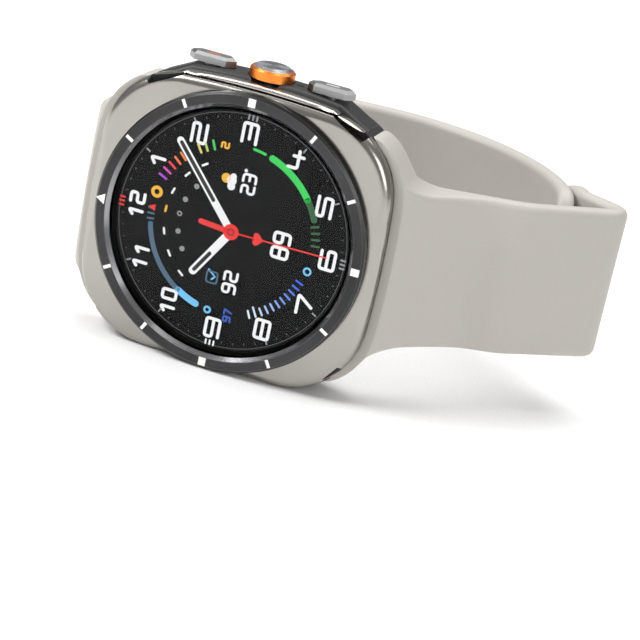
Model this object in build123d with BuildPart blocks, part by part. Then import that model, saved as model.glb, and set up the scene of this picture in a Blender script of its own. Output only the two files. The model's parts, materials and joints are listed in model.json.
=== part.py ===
"""Rugged smartwatch with a closed elastomer strap, built in millimetres.

The dial faces -Y, 12 o'clock points to -X, 6 o'clock to +X and the three buttons to +Z.
The origin is the middle of the flat land on the 9 o'clock flank, which the watch rests on.
"""
from build123d import *
import os
from math import cos, sin, radians

os.makedirs("parts", exist_ok=True)

# ---- case: stations along Y, the depth from dial to wrist ----
RING_FRONT = -7.2
GLASS_FRONT = -6.35
PLATE_FRONT = -5.7
GLASS_BACK = -5.15
DISPLAY_FRONT = -5.0
SHELF = -4.9
DISPLAY_BACK = -4.0
FRAME_FRONT = -3.4
FRAME_BACK = 3.4
COVER_BACK = 4.4
WINDOW_BACK = 5.1

# ---- case: outline seen from the dial ----
AXIS_HEIGHT = 21.9
CASE_HALF_X = 23.6
CASE_HALF_Z = 22.2
SIDE_BOW = 1.4
CORNER_RADIUS = 12.5
FRAME_INSET = 0.2
COVER_INSET = 1.2
CAVITY_RADIUS = 19.4
WEB_RADIUS = 17.5
WEB_THICKNESS = 0.6
PLATE_EDGE_RADIUS = 1.4
FACET_INSET = 1.3
FACET_LENGTH = 30.0
FACET_WIDTH = 8.0
REST_DEPTH = 5.0

# ---- reach of cuts that pass right through ----
THROUGH_PLATE = 5.0
THROUGH_WALL = 20.0
THROUGH_STRAP = 80.0

# ---- dial side ----
RING_OUTER = 21.7
RING_INNER = 19.45
RING_CLEARANCE = 0.05
MARKER_RADIUS = 20.65
MARKER_LENGTH = 1.3
MARKER_DEPTH = 0.25
MARKER_WIDTH = 0.5
MARKER_WIDE = 1.15
TRIANGLE_RADIUS = 0.95
RING_CHAMFER = 0.35
RING_LIP = 0.5
RING_LIP_DROP = 0.15
GLASS_RADIUS = 19.4
DISPLAY_RADIUS = 18.6
DISPLAY_BORE = 18.8

# notches in the plate's corners, as corner points from the dial axis
NOTCHES = (
    ((10.5, 22.3), (17.0, 18.9), (18.0, 19.9)),
    ((17.6, -19.9), (20.7, -15.7), (22.0, -16.2)),
)

# ---- crown guard and its bright rim ----
GUARD_TOP = 23.5
GUARD_HALF_X = 17.0
GUARD_DROP = 0.65
GUARD_SHOULDER = (5.0, 3.25)
GUARD_EDGE = 0.9
GUARD_BLEND = 3.0
GUARD_BOTTOM = 14.0
RIM_BOTTOM = 18.0
RIM_INSET = 0.2
GUARD_FRONT = -3.0
GUARD_BACK = 3.2
RIM_FRONT = -5.1
RIM_BELOW_GUARD = 0.6
RIM_EDGE = 0.45
MICROPHONE_X = -15.0
MICROPHONE_RADIUS = 0.35
VENT_X = 4.7
SOUND_SLOT_X = 5.2

# ---- buttons on the 3 o'clock side ----
BUTTON_PITCH = 9.6
STEM_RADIUS = 1.2
BORE_RADIUS = 1.25
STEM_BOTTOM = 15.25
PAD_LENGTH = 7.6
PAD_WIDTH = 3.0
PAD_BOTTOM = 23.4
PAD_TOP = 24.75
SEAL_HEIGHT = 21.5
CLIP_THICKNESS = 0.35
CLIP_RADIUS = 1.9
GROOVE_RADIUS = 0.85
POCKET_FLOOR = 22.85
COLLAR_RADIUS = 3.5
COLLAR_TOP = 24.95
CAP_RADIUS = 2.95
CAP_TOP = 25.35
BORE_BOTTOM = 12.0
POCKET_GAP = 0.2
COLLAR_GAP = 0.15
DASH_LENGTH = 2.2
DASH_WIDTH = 0.55
DASH_DEPTH = 0.15
SWITCH_BOTTOM = 13.4
SWITCH_HEIGHT = 0.9
SWITCH_SIZE = 2.8
BUTTONS = (("home_button", -BUTTON_PITCH), ("quick_button", 0), ("back_button", BUTTON_PITCH))

# ---- inside the case ----
BOARD_FRONT = -2.7
BOARD_BACK = -1.9
SHIELD_BACK = -0.9
WINDOW_RADIUS = 9.0
WINDOW_SEAT = 3.9
SEAL_INNER = 19.75
SEAL_OUTER = 20.55
SEAL_GROOVE = 0.5
SCREW_X = 15.6
SCREW_Z = 15.2
SCREW_RADIUS = 0.5
SCREW_HEAD = 0.95
SCREW_HEAD_HEIGHT = 0.5
SCREW_LENGTH = 2.6

# ---- strap ----
STRAP_THICKNESS = 2.8
STRAP_HALF_WIDTH = 12.25
TAIL_HALF_WIDTH = 10.2
HORN_TOP = 19.7
HORN_OUTER_X = 19.45
HORN_BEND = (21.1, 18.1)
HORN_FOOT = (22.3, 16.5)
HORN_HOLLOW = (24.3, 13.7)
BAND_START = (28.0, 12.25)
FLARE_REACH = 40.0
LAYER_GAP = 0.2
FOLD_CENTRE = (50.2, 23.8)
FOLD_RADIUS = 2.2
NEAR_HEADING = 42
RETURN_HEADING = 153
HINGE_HEADING = 97.5
BACK_CENTRE = (12.0, 14.7)
BACK_RADIUS = 33.3
ARC_START = 100
ARC_END = 12
STRAP_12_BEND = (-23.4, 30.5)
ROOT_END = {1: (29.0, 7.2), -1: (-26.6, 7.0)}
ROOT_MERGE = {1: 8.0, -1: 2.5}
ROOT_FRONT = -2.9
ROOT_BACK = 3.2
ROOT_FLANK_X = 23.2
ROOT_BURIED_X = 16.0
ROOT_CORNER_X = 25.9
ROOT_CORNER_RADIUS = 1.2
ROOT_HOLLOW = {1: (25.6, 5.3), -1: (-24.6, 4.4)}
NEAR_RUN = 15.0
NEAR_BEND_RADIUS = 12.0
RETURN_RUN = 6.0
RETURN_BEND_RADIUS = 4.0
KNEE_RUN = 14.0
KNEE_RADIUS = 14.0
SHOULDER_START = 40.5
SHOULDER_MIDDLE = (43.3, 10.9)
SHOULDER_END = 44.6
TAIL_REACH = -5.0
LAYER_START = 30
LAYER_END = 96
HOLE_STEP = 10
HOLE_RADIUS = 2.85

# ---- closure stud, measured outward from the middle of the 12 o'clock strap ----
STUD_ANGLE = 60
STUD_DISC_BOTTOM = -0.6
STUD_DISC_RADIUS = 3.2
STUD_DISC_THICKNESS = 0.8
STUD_NECK = 1.7
STUD_HEAD_BOTTOM = 4.65
STUD_HEAD_RADIUS = 2.4
STUD_HEAD_HEIGHT = 1.0
STUD_CLEARANCE = 0.01

# ---- strap couplings ----
ADAPTER_HALF_Z = 8.8
ADAPTER_FRONT = -1.7
ADAPTER_BACK = 2.4
ADAPTER_MIDDLE = (ADAPTER_FRONT + ADAPTER_BACK) / 2
ADAPTER_INNER = 21.2
ADAPTER_OUTER = 25.4
SOCKET_MIDDLE = 23.0
LATCH_X = 24.5
LATCH_HALF_X = 0.75
SLOT_INNER = 23.2
SLOT_OUTER = 25.45
LATCH_HALF_Z = 2.6
LATCH_BOTTOM = 0.9
LATCH_TOP = 4.9
LATCH_PLAY = 0.05
SPRING_BOTTOM = -1.2
SPRING_COIL_RADIUS = 0.45
SPRING_WIRE_RADIUS = 0.09
SPRING_TURNS = 5


def dial_plane(depth):
    """Plane facing the viewer at a given depth, with its origin on the dial axis."""
    return Plane(origin=(0, depth, AXIS_HEIGHT), x_dir=(1, 0, 0), z_dir=(0, -1, 0))


def top_plane(x, height):
    """Horizontal plane on a button's axis, at a height above the dial axis."""
    return Plane(origin=(x, 0, AXIS_HEIGHT + height))


def export(piece, name):
    piece.part.label = name
    export_step(piece.part, f"parts/{name}.step")


def on_circle(centre, radius, angle):
    return (centre[0] + radius * cos(radians(angle)), centre[1] + radius * sin(radians(angle)))


def cushion(depth, inset):
    """Rounded square with bowed sides, flattened a little where the watch rests."""
    half_x = CASE_HALF_X - inset
    half_z = CASE_HALF_Z - inset
    corner_x = half_x - SIDE_BOW
    corner_z = half_z - SIDE_BOW
    with BuildSketch(dial_plane(depth)) as outline:
        with BuildLine():
            ThreePointArc((corner_x, corner_z), (half_x, 0), (corner_x, -corner_z))
            ThreePointArc((corner_x, -corner_z), (0, -half_z), (-corner_x, -corner_z))
            ThreePointArc((-corner_x, -corner_z), (-half_x, 0), (-corner_x, corner_z))
            ThreePointArc((-corner_x, corner_z), (0, half_z), (corner_x, corner_z))
        make_face()
        fillet(outline.vertices(), CORNER_RADIUS - inset)
        with Locations((0, -AXIS_HEIGHT - REST_DEPTH)):
            Rectangle(60, 2 * REST_DEPTH, mode=Mode.SUBTRACT)
    return outline.sketch


def disc(front, back, radius, hole=0.0, rear_edge=0.0):
    """Round plate or ring on the dial axis, between two depths."""
    with BuildPart() as plate:
        with BuildSketch(dial_plane(back)):
            Circle(radius)
            if hole:
                Circle(hole, mode=Mode.SUBTRACT)
        extrude(amount=back - front)
        if rear_edge:
            fillet(plate.faces().sort_by(Axis.Y)[-1].edges(), rear_edge)
    return plate


def block(x_range, y_range, z_range, edge=0.0):
    """Box between the given limits, with z counted from the dial axis."""
    size_x = x_range[1] - x_range[0]
    size_y = y_range[1] - y_range[0]
    size_z = z_range[1] - z_range[0]
    centre = (x_range[0] + size_x / 2, y_range[0] + size_y / 2)
    with BuildPart() as box:
        with BuildSketch(Plane.XY.offset(AXIS_HEIGHT + z_range[0])):
            with Locations(centre):
                Rectangle(size_x, size_y)
        extrude(amount=size_z)
        if edge:
            fillet(box.edges().filter_by(Axis.Y), edge)
    return box


# ---------------------------------------------------------------- case
def marker_sketch(depth):
    """Hour markers: long narrow bars, with wide bars at 3, 6 and 9 and a triangle at 12."""
    with BuildSketch(dial_plane(depth)) as bars:
        for hour in range(12):
            angle = 180 - 30 * hour
            centre = on_circle((0, 0), MARKER_RADIUS, angle)
            with Locations(Location((centre[0], centre[1], 0), (0, 0, angle))):
                if hour == 0:
                    RegularPolygon(TRIANGLE_RADIUS, 3)
                else:
                    Rectangle(MARKER_LENGTH, MARKER_WIDE if hour % 3 == 0 else MARKER_WIDTH)
    return bars.sketch


def make_bezel_ring():
    with BuildPart() as ring:
        with BuildSketch(Plane(origin=(0, 0, AXIS_HEIGHT), x_dir=(1, 0, 0), z_dir=(0, 0, 1))):
            with BuildLine():
                Polyline(
                    (RING_OUTER, SHELF),
                    (RING_OUTER, RING_FRONT + RING_CHAMFER),
                    (RING_OUTER - RING_CHAMFER, RING_FRONT),
                    (RING_INNER + RING_LIP, RING_FRONT),
                    (RING_INNER, GLASS_FRONT - RING_LIP_DROP),
                    (RING_INNER, SHELF),
                    close=True,
                )
            make_face()
        revolve(axis=Axis((0, 0, AXIS_HEIGHT), (0, 1, 0)))
        extrude(marker_sketch(RING_FRONT + MARKER_DEPTH), amount=1, mode=Mode.SUBTRACT)
    export(ring, "bezel_ring")


def make_bezel_markers():
    with BuildPart() as markers:
        extrude(marker_sketch(RING_FRONT + MARKER_DEPTH), amount=MARKER_DEPTH)
    export(markers, "bezel_markers")


def make_front_plate():
    with BuildPart() as plate:
        extrude(cushion(FRAME_FRONT, 0), amount=FRAME_FRONT - PLATE_FRONT)
        front_edges = plate.faces().sort_by(Axis.Y)[0].edges()
        fillet(front_edges, PLATE_EDGE_RADIUS)
        with BuildSketch(dial_plane(SHELF)):
            Circle(RING_OUTER + RING_CLEARANCE)
        extrude(amount=THROUGH_PLATE, mode=Mode.SUBTRACT)
        with BuildSketch(dial_plane(FRAME_FRONT)):
            Circle(DISPLAY_BORE)
        extrude(amount=THROUGH_PLATE, mode=Mode.SUBTRACT)
        # polished facets along the 12 and 6 o'clock sides
        for side in (-1, 1):
            facet = Plane(
                origin=(side * (CASE_HALF_X - FACET_INSET), PLATE_FRONT, AXIS_HEIGHT),
                x_dir=(0, 0, 1),
                z_dir=(side * 0.6, -0.8, 0),
            )
            with BuildSketch(facet):
                Rectangle(FACET_LENGTH, FACET_WIDTH)
            extrude(amount=THROUGH_PLATE, mode=Mode.SUBTRACT)
        # tapered notches where the facets end, wider on the button side
        for corner in NOTCHES:
            with BuildSketch(dial_plane(FRAME_FRONT)) as notch:
                with BuildLine():
                    Polyline(*corner, close=True)
                make_face()
                mirror(about=Plane.YZ)
            extrude(notch.sketch, amount=THROUGH_PLATE, mode=Mode.SUBTRACT)
    export(plate, "front_plate")


def guard_sketch(depth, top, half_x, bottom):
    """Outline of the crown guard: sloping shoulders and a gently bowed top."""
    slope, fall = GUARD_SHOULDER
    with BuildSketch(dial_plane(depth)) as outline:
        with BuildLine():
            Polyline(
                (half_x - slope, top - GUARD_DROP),
                (half_x, top - fall),
                (half_x, bottom),
                (-half_x, bottom),
                (-half_x, top - fall),
                (-half_x + slope, top - GUARD_DROP),
            )
            shoulder = (half_x - slope, top - GUARD_DROP)
            ThreePointArc((-shoulder[0], shoulder[1]), (0, top), shoulder)
        make_face()
        corners = outline.vertices().filter_by(lambda v: v.Z > AXIS_HEIGHT + shoulder[1] - 0.01)
        fillet(corners, GUARD_BLEND)
    return outline.sketch


def hexagon_pad(plane, length, width):
    """Long hexagon with pointed ends, the outline of the two outer buttons."""
    point = width * 0.42
    with BuildSketch(plane) as pad:
        with BuildLine():
            Polyline(
                (length / 2, 0),
                (length / 2 - point, width / 2),
                (-length / 2 + point, width / 2),
                (-length / 2, 0),
                (-length / 2 + point, -width / 2),
                (length / 2 - point, -width / 2),
                close=True,
            )
        make_face()
    return pad.sketch


def make_mid_frame():
    with BuildPart() as frame:
        extrude(cushion(FRAME_BACK, FRAME_INSET), amount=FRAME_BACK - FRAME_FRONT)
        with BuildPart(mode=Mode.PRIVATE) as guard:
            extrude(
                guard_sketch(GUARD_BACK, GUARD_TOP, GUARD_HALF_X, GUARD_BOTTOM),
                amount=GUARD_BACK - GUARD_FRONT,
            )
            edge_height = AXIS_HEIGHT + GUARD_TOP - GUARD_BLEND
            outer_edges = guard.edges().filter_by(lambda e: e.center().Z > edge_height)
            fillet(outer_edges.group_by(Axis.Y)[0] + outer_edges.group_by(Axis.Y)[-1], GUARD_EDGE)
        add(guard.part)
        with BuildSketch(dial_plane(FRAME_BACK)):
            Circle(CAVITY_RADIUS)
        extrude(amount=FRAME_BACK - FRAME_FRONT - WEB_THICKNESS, mode=Mode.SUBTRACT)
        with BuildSketch(dial_plane(FRAME_BACK)):
            Circle(WEB_RADIUS)
        extrude(amount=THROUGH_WALL, mode=Mode.SUBTRACT)
        # groove for the rear seal
        with BuildSketch(dial_plane(FRAME_BACK)):
            Circle(SEAL_OUTER)
            Circle(SEAL_INNER, mode=Mode.SUBTRACT)
        extrude(amount=SEAL_GROOVE, mode=Mode.SUBTRACT)
        # threaded holes for the rear screws
        with BuildSketch(dial_plane(FRAME_BACK)):
            with GridLocations(2 * SCREW_X, 2 * SCREW_Z, 2, 2):
                Circle(SCREW_RADIUS + 0.03)
        extrude(amount=SCREW_LENGTH + 0.2, mode=Mode.SUBTRACT)
        # button bores, with a pocket for each pad and a spot face for each clip
        for x in (-BUTTON_PITCH, 0, BUTTON_PITCH):
            with BuildSketch(top_plane(x, BORE_BOTTOM)):
                Circle(BORE_RADIUS)
            extrude(amount=THROUGH_WALL, mode=Mode.SUBTRACT)
            with BuildSketch(top_plane(x, BORE_BOTTOM)):
                Circle(CLIP_RADIUS + 0.4)
            extrude(amount=clip_seat(x) - BORE_BOTTOM, mode=Mode.SUBTRACT)
        for x in (-BUTTON_PITCH, BUTTON_PITCH):
            pocket_length = PAD_LENGTH + 2 * POCKET_GAP
            pocket = hexagon_pad(top_plane(x, POCKET_FLOOR), pocket_length, PAD_WIDTH + 2 * POCKET_GAP)
            extrude(pocket, amount=THROUGH_PLATE, mode=Mode.SUBTRACT)
        with BuildSketch(top_plane(0, POCKET_FLOOR)):
            Circle(COLLAR_RADIUS + COLLAR_GAP)
        extrude(amount=THROUGH_PLATE, mode=Mode.SUBTRACT)
        # microphone hole and pressure vent in the guard, sound slots in the resting flank
        with BuildSketch(top_plane(MICROPHONE_X, BORE_BOTTOM)):
            Circle(MICROPHONE_RADIUS)
        extrude(amount=THROUGH_WALL, mode=Mode.SUBTRACT)
        with BuildSketch(top_plane(VENT_X, BORE_BOTTOM + 3)):
            Rectangle(1.1, 0.5)
        extrude(amount=THROUGH_WALL, mode=Mode.SUBTRACT)
        for x in (-SOUND_SLOT_X, SOUND_SLOT_X):
            with BuildSketch(top_plane(x, -CASE_HALF_Z - 1)):
                SlotOverall(3.6, 0.8)
            extrude(amount=THROUGH_PLATE + 1, mode=Mode.SUBTRACT)
        # sockets for the strap couplings
        with BuildSketch(Plane.XY.offset(AXIS_HEIGHT - ADAPTER_HALF_Z - 0.1)):
            with Locations((-SOCKET_MIDDLE, ADAPTER_MIDDLE), (SOCKET_MIDDLE, ADAPTER_MIDDLE)):
                Rectangle(2 * (SOCKET_MIDDLE - ADAPTER_INNER + 0.1), ADAPTER_BACK - ADAPTER_FRONT + 0.2)
        extrude(amount=2 * ADAPTER_HALF_Z + 0.2, mode=Mode.SUBTRACT)
    export(frame, "mid_frame")


def make_guard_rim():
    """Bright rim along the front edge of the crown guard."""
    with BuildPart() as rim:
        extrude(
            guard_sketch(GUARD_FRONT, GUARD_TOP - RIM_BELOW_GUARD, GUARD_HALF_X - RIM_INSET, RIM_BOTTOM),
            amount=GUARD_FRONT - RIM_FRONT,
        )
        front_edges = rim.faces().sort_by(Axis.Y)[0].edges()
        fillet(front_edges.filter_by(lambda e: e.center().Z > AXIS_HEIGHT + RIM_BOTTOM + 1), RIM_EDGE)
        extrude(cushion(GUARD_FRONT, -0.12), amount=THROUGH_PLATE, mode=Mode.SUBTRACT)
    export(rim, "guard_rim")


def make_case_back():
    with BuildPart() as cover:
        extrude(cushion(COVER_BACK, COVER_INSET), amount=COVER_BACK - FRAME_BACK)
        rear_edges = cover.faces().sort_by(Axis.Y)[-1].edges()
        chamfer(rear_edges, 0.5)
        with BuildSketch(dial_plane(COVER_BACK)):
            Circle(WINDOW_RADIUS + 0.05)
        extrude(amount=COVER_BACK - WINDOW_SEAT, mode=Mode.SUBTRACT)
        with BuildSketch(dial_plane(COVER_BACK)):
            Circle(WINDOW_RADIUS - 1.2)
        extrude(amount=5, mode=Mode.SUBTRACT)
        with BuildSketch(dial_plane(COVER_BACK)):
            with GridLocations(2 * SCREW_X, 2 * SCREW_Z, 2, 2):
                Circle(SCREW_RADIUS + 0.08)
        extrude(amount=5, mode=Mode.SUBTRACT)
        with BuildSketch(dial_plane(COVER_BACK)):
            with GridLocations(2 * SCREW_X, 2 * SCREW_Z, 2, 2):
                Circle(SCREW_HEAD + 0.08)
        extrude(amount=SCREW_HEAD_HEIGHT, mode=Mode.SUBTRACT)
    export(cover, "case_back")


def make_sensor_window():
    """Raised round window over the heart-rate sensors."""
    window = disc(WINDOW_SEAT, WINDOW_BACK, WINDOW_RADIUS, rear_edge=0.65)
    export(window, "sensor_window")


def make_case_screws():
    with BuildPart() as screws:
        with BuildSketch(dial_plane(COVER_BACK - 0.05)):
            with GridLocations(2 * SCREW_X, 2 * SCREW_Z, 2, 2):
                Circle(SCREW_HEAD)
        extrude(amount=SCREW_HEAD_HEIGHT - 0.05)
        with BuildSketch(dial_plane(COVER_BACK - SCREW_HEAD_HEIGHT)):
            with GridLocations(2 * SCREW_X, 2 * SCREW_Z, 2, 2):
                Circle(SCREW_RADIUS)
        extrude(amount=SCREW_LENGTH + COVER_BACK - SCREW_HEAD_HEIGHT - FRAME_BACK)
        with BuildSketch(dial_plane(COVER_BACK)):
            with GridLocations(2 * SCREW_X, 2 * SCREW_Z, 2, 2):
                RegularPolygon(0.55, 5)
        extrude(amount=0.3, mode=Mode.SUBTRACT)
    export(screws, "case_screws")


# ---------------------------------------------------------------- inside the case
def make_display_stack():
    glass = disc(GLASS_FRONT, GLASS_BACK, GLASS_RADIUS)
    export(glass, "cover_glass")
    seal = disc(GLASS_BACK, SHELF, GLASS_RADIUS, DISPLAY_BORE)
    export(seal, "glass_seal")
    panel = disc(DISPLAY_FRONT, DISPLAY_BACK, DISPLAY_RADIUS)
    export(panel, "display_panel")
    support = disc(DISPLAY_BACK + 0.02, FRAME_FRONT, DISPLAY_RADIUS, 6.0)
    export(support, "display_frame")
    flex = block((8.0, 13.5), (FRAME_FRONT + 0.03, BOARD_FRONT - 0.02), (-11.0, -8.0))
    export(flex, "display_flex")


def make_main_board():
    with BuildPart() as board:
        with BuildSketch(dial_plane(BOARD_BACK)):
            Circle(18.9)
            with Locations((0, 16.6)):
                Rectangle(26, 6, mode=Mode.SUBTRACT)
            with Locations((0, -15.5)):
                Rectangle(13, 8, mode=Mode.SUBTRACT)
        extrude(amount=BOARD_BACK - BOARD_FRONT)
    export(board, "main_board")


def make_board_chips():
    with BuildPart() as chips:
        with BuildSketch(dial_plane(BOARD_BACK + 0.6)):
            with Locations((-4, 3)):
                Rectangle(9, 9)
            with Locations((5, 4.5)):
                Rectangle(5, 5)
            with Locations((5.5, -3)):
                Rectangle(4, 6)
            with Locations((-5, -6)):
                Rectangle(6, 4)
        extrude(amount=0.6)
    export(chips, "board_chips")


def make_board_shield():
    """Thin metal can over the chips."""
    with BuildPart() as can:
        with BuildSketch(dial_plane(SHIELD_BACK)):
            RectangleRounded(20, 19, 1.0)
        extrude(amount=SHIELD_BACK - BOARD_BACK)
        with BuildSketch(dial_plane(SHIELD_BACK - 0.15)):
            RectangleRounded(19.6, 18.6, 0.8)
        extrude(amount=5, mode=Mode.SUBTRACT)
    export(can, "board_shield")


def make_inner_blocks():
    battery = block((-13.2, 13.2), (SHIELD_BACK + 0.1, 2.35), (-10.3, 10.8), 1.5)
    export(battery, "battery")
    motor = block((13.9, 17.9), (-1.6, 2.0), (-4.6, 4.6), 0.8)
    export(motor, "haptic_motor")
    speaker = block((-5.9, 5.9), (-1.7, 2.1), (-17.6, -11.2), 0.9)
    export(speaker, "speaker")
    microphone = block((-16.4, -14.0), (-1.85, -0.6), (5.0, 8.0))
    export(microphone, "microphone")
    sensor = block((8.6, 11.4), (-1.85, -0.5), (-14.4, -11.6))
    export(sensor, "pressure_sensor")
    flex = block((-12.2, 12.2), (-1.6, 1.6), (13.0, 13.4))
    export(flex, "button_flex")


def make_speaker_mesh():
    """Woven screens behind the two sound slots."""
    with BuildPart() as mesh:
        with BuildSketch(top_plane(0, -19.15)):
            with Locations((-SOUND_SLOT_X, 0), (SOUND_SLOT_X, 0)):
                SlotOverall(3.5, 0.7)
        extrude(amount=-0.3)
    export(mesh, "speaker_mesh")


def make_button_switches():
    with BuildPart() as switches:
        for x in (-BUTTON_PITCH, 0, BUTTON_PITCH):
            with BuildSketch(top_plane(x, SWITCH_BOTTOM)):
                Rectangle(SWITCH_SIZE, SWITCH_SIZE)
            extrude(amount=SWITCH_HEIGHT)
            with BuildSketch(top_plane(x, SWITCH_BOTTOM + SWITCH_HEIGHT)):
                Circle(0.8)
            extrude(amount=0.5)
    export(switches, "button_switches")


def make_sensors_and_coil():
    ferrite = disc(2.4, 2.6, 16.2, 7.9)
    export(ferrite, "coil_ferrite")
    coil = disc(2.62, 3.2, 15.6, 8.6)
    export(coil, "charging_coil")
    board = disc(2.5, 3.1, 7.4)
    export(board, "sensor_board")
    with BuildPart() as sensors:
        with BuildSketch(dial_plane(3.75)):
            Rectangle(2.4, 2.4)
            with PolarLocations(4.6, 8):
                Rectangle(1.6, 1.6)
        extrude(amount=0.65)
    export(sensors, "optical_sensors")
    seal = disc(FRAME_BACK - SEAL_GROOVE + 0.02, FRAME_BACK, SEAL_OUTER - 0.03, SEAL_INNER + 0.03)
    export(seal, "rear_seal")


# ---------------------------------------------------------------- buttons
def clip_seat(x):
    """Height of the flat that a stem's clip pulls up against."""
    return 19.3 if x == 0 else 17.2


def make_pad_button(name, x):
    with BuildPart() as button:
        extrude(hexagon_pad(top_plane(x, PAD_BOTTOM), PAD_LENGTH, PAD_WIDTH), amount=PAD_TOP - PAD_BOTTOM)
        rim = button.faces().sort_by(Axis.Z)[-1].edges()
        chamfer(rim, 0.42)
        with BuildSketch(top_plane(x, PAD_TOP - DASH_DEPTH)):
            SlotOverall(DASH_LENGTH, DASH_WIDTH)
        extrude(amount=1, mode=Mode.SUBTRACT)
        with BuildSketch(top_plane(x, STEM_BOTTOM)):
            Circle(STEM_RADIUS)
        extrude(amount=PAD_BOTTOM - STEM_BOTTOM)
        cut_grooves(x)
    export(button, name)
    with BuildPart() as dash:
        with BuildSketch(top_plane(x, PAD_TOP - DASH_DEPTH)):
            SlotOverall(DASH_LENGTH, DASH_WIDTH)
        extrude(amount=DASH_DEPTH - 0.02)
    export(dash, name + "_dash")


def cut_grooves(x):
    """Seal groove and clip groove round the stem of the button in progress."""
    grooves = (
        (SEAL_HEIGHT, 0.5),
        (clip_seat(x) - CLIP_THICKNESS - 0.07, CLIP_THICKNESS + 0.04),
    )
    for height, depth in grooves:
        with BuildSketch(top_plane(x, height)) as ring:
            Circle(STEM_RADIUS + 1)
            Circle(GROOVE_RADIUS, mode=Mode.SUBTRACT)
        extrude(ring.sketch, amount=depth, mode=Mode.SUBTRACT)


def make_quick_button():
    """Round centre button: a coloured collar round a spun metal cap on one stem."""
    with BuildPart() as collar:
        with BuildSketch(top_plane(0, PAD_BOTTOM)):
            Circle(COLLAR_RADIUS)
            Circle(CAP_RADIUS, mode=Mode.SUBTRACT)
        extrude(amount=COLLAR_TOP - PAD_BOTTOM)
        outer_edges = collar.faces().sort_by(Axis.Z)[-1].edges()
        chamfer(outer_edges.sort_by(SortBy.RADIUS)[-1], 0.3)
    export(collar, "quick_button_collar")
    with BuildPart() as cap:
        with BuildSketch(top_plane(0, PAD_BOTTOM)):
            Circle(CAP_RADIUS)
        extrude(amount=CAP_TOP - PAD_BOTTOM)
        rim = cap.faces().sort_by(Axis.Z)[-1].edges()
        chamfer(rim, 0.45)
        with BuildSketch(top_plane(0, STEM_BOTTOM)):
            Circle(STEM_RADIUS)
        extrude(amount=PAD_BOTTOM - STEM_BOTTOM)
        cut_grooves(0)
    export(cap, "quick_button_cap")


def make_button_seals_and_clips():
    for name, x in BUTTONS:
        with BuildPart() as seal:
            with BuildSketch(top_plane(x, SEAL_HEIGHT + 0.02)):
                Circle(BORE_RADIUS - 0.01)
                Circle(GROOVE_RADIUS, mode=Mode.SUBTRACT)
            extrude(amount=0.46)
        export(seal, name + "_seal")
        with BuildPart() as clip:
            with BuildSketch(top_plane(x, clip_seat(x) - CLIP_THICKNESS - 0.05)):
                Circle(CLIP_RADIUS)
                Circle(GROOVE_RADIUS, mode=Mode.SUBTRACT)
                with Locations((0, -CLIP_RADIUS)):
                    Rectangle(0.9, 2.4, mode=Mode.SUBTRACT)
            extrude(amount=CLIP_THICKNESS)
        export(clip, name + "_clip")


# ---------------------------------------------------------------- strap
def heading(angle):
    return (cos(radians(angle)), sin(radians(angle)))


def fold_point(direction, radius):
    """Point on the fold's arc where the strap runs in a given direction."""
    return on_circle(FOLD_CENTRE, radius, direction - 90)


def sweep_band(path, start, direction, half_width):
    """Strap band of constant section along a flat path at the dial axis's height."""
    section_plane = Plane(
        origin=(start[0], start[1], AXIS_HEIGHT),
        x_dir=(-direction[1], direction[0], 0),
        z_dir=(direction[0], direction[1], 0),
    )
    with BuildSketch(section_plane) as section:
        Rectangle(STRAP_THICKNESS, 2 * half_width)
    return sweep(section.sketch, path=path, mode=Mode.PRIVATE)


def strap_root(side, direction):
    """Thick root of a strap against the case flank, easing smoothly into the band."""
    outer_start = band_side(ROOT_END[side], direction, -side)
    inner_point = band_side(ROOT_END[side], direction, side)
    run = ROOT_MERGE[side]
    outer_point = (outer_start[0] + run * direction.X, outer_start[1] + run * direction.Y)
    middle_point = (ROOT_END[side][0] + run * direction.X, ROOT_END[side][1] + run * direction.Y)
    front_corner = (side * ROOT_CORNER_X, ROOT_FRONT)
    back_corner = (side * ROOT_FLANK_X, ROOT_BACK)
    buried_front = (side * ROOT_BURIED_X, ROOT_FRONT)
    buried_back = (side * ROOT_BURIED_X, ROOT_BACK)
    with BuildSketch(Plane.XY.offset(AXIS_HEIGHT - HORN_TOP)) as profile:
        with BuildLine():
            Line(buried_front, front_corner)
            TangentArc(outer_point, front_corner, tangent=(-direction.X, -direction.Y))
            Polyline(outer_point, middle_point, ROOT_END[side], inner_point)
            ThreePointArc(inner_point, ROOT_HOLLOW[side], back_corner)
            Line(back_corner, buried_back)
            Line(buried_back, buried_front)
        make_face()
        corner_place = (*front_corner, AXIS_HEIGHT - HORN_TOP)
        fillet(profile.vertices().sort_by_distance(corner_place)[0], ROOT_CORNER_RADIUS)
    return extrude(profile.sketch, amount=2 * HORN_TOP, mode=Mode.PRIVATE)


def cut_flare(side):
    """Trim the root from the front: horns hug the case corners, then hollow into the band."""
    tip = (side * HORN_OUTER_X, HORN_TOP)
    bend = (side * HORN_BEND[0], HORN_BEND[1])
    foot = (side * HORN_FOOT[0], HORN_FOOT[1])
    hollow = (side * HORN_HOLLOW[0], HORN_HOLLOW[1])
    band_start = (side * BAND_START[0], BAND_START[1])
    with BuildSketch(dial_plane(THROUGH_STRAP / 2)) as waste:
        with BuildLine():
            ThreePointArc(tip, bend, foot)
            ThreePointArc(foot, hollow, band_start)
            Polyline(
                band_start,
                (side * FLARE_REACH, BAND_START[1]),
                (side * FLARE_REACH, HORN_TOP + 1),
                (side * HORN_OUTER_X, HORN_TOP + 1),
                tip,
            )
        make_face()
        mirror(about=Plane.XZ)
    extrude(waste.sketch, amount=THROUGH_STRAP, mode=Mode.SUBTRACT)


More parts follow.
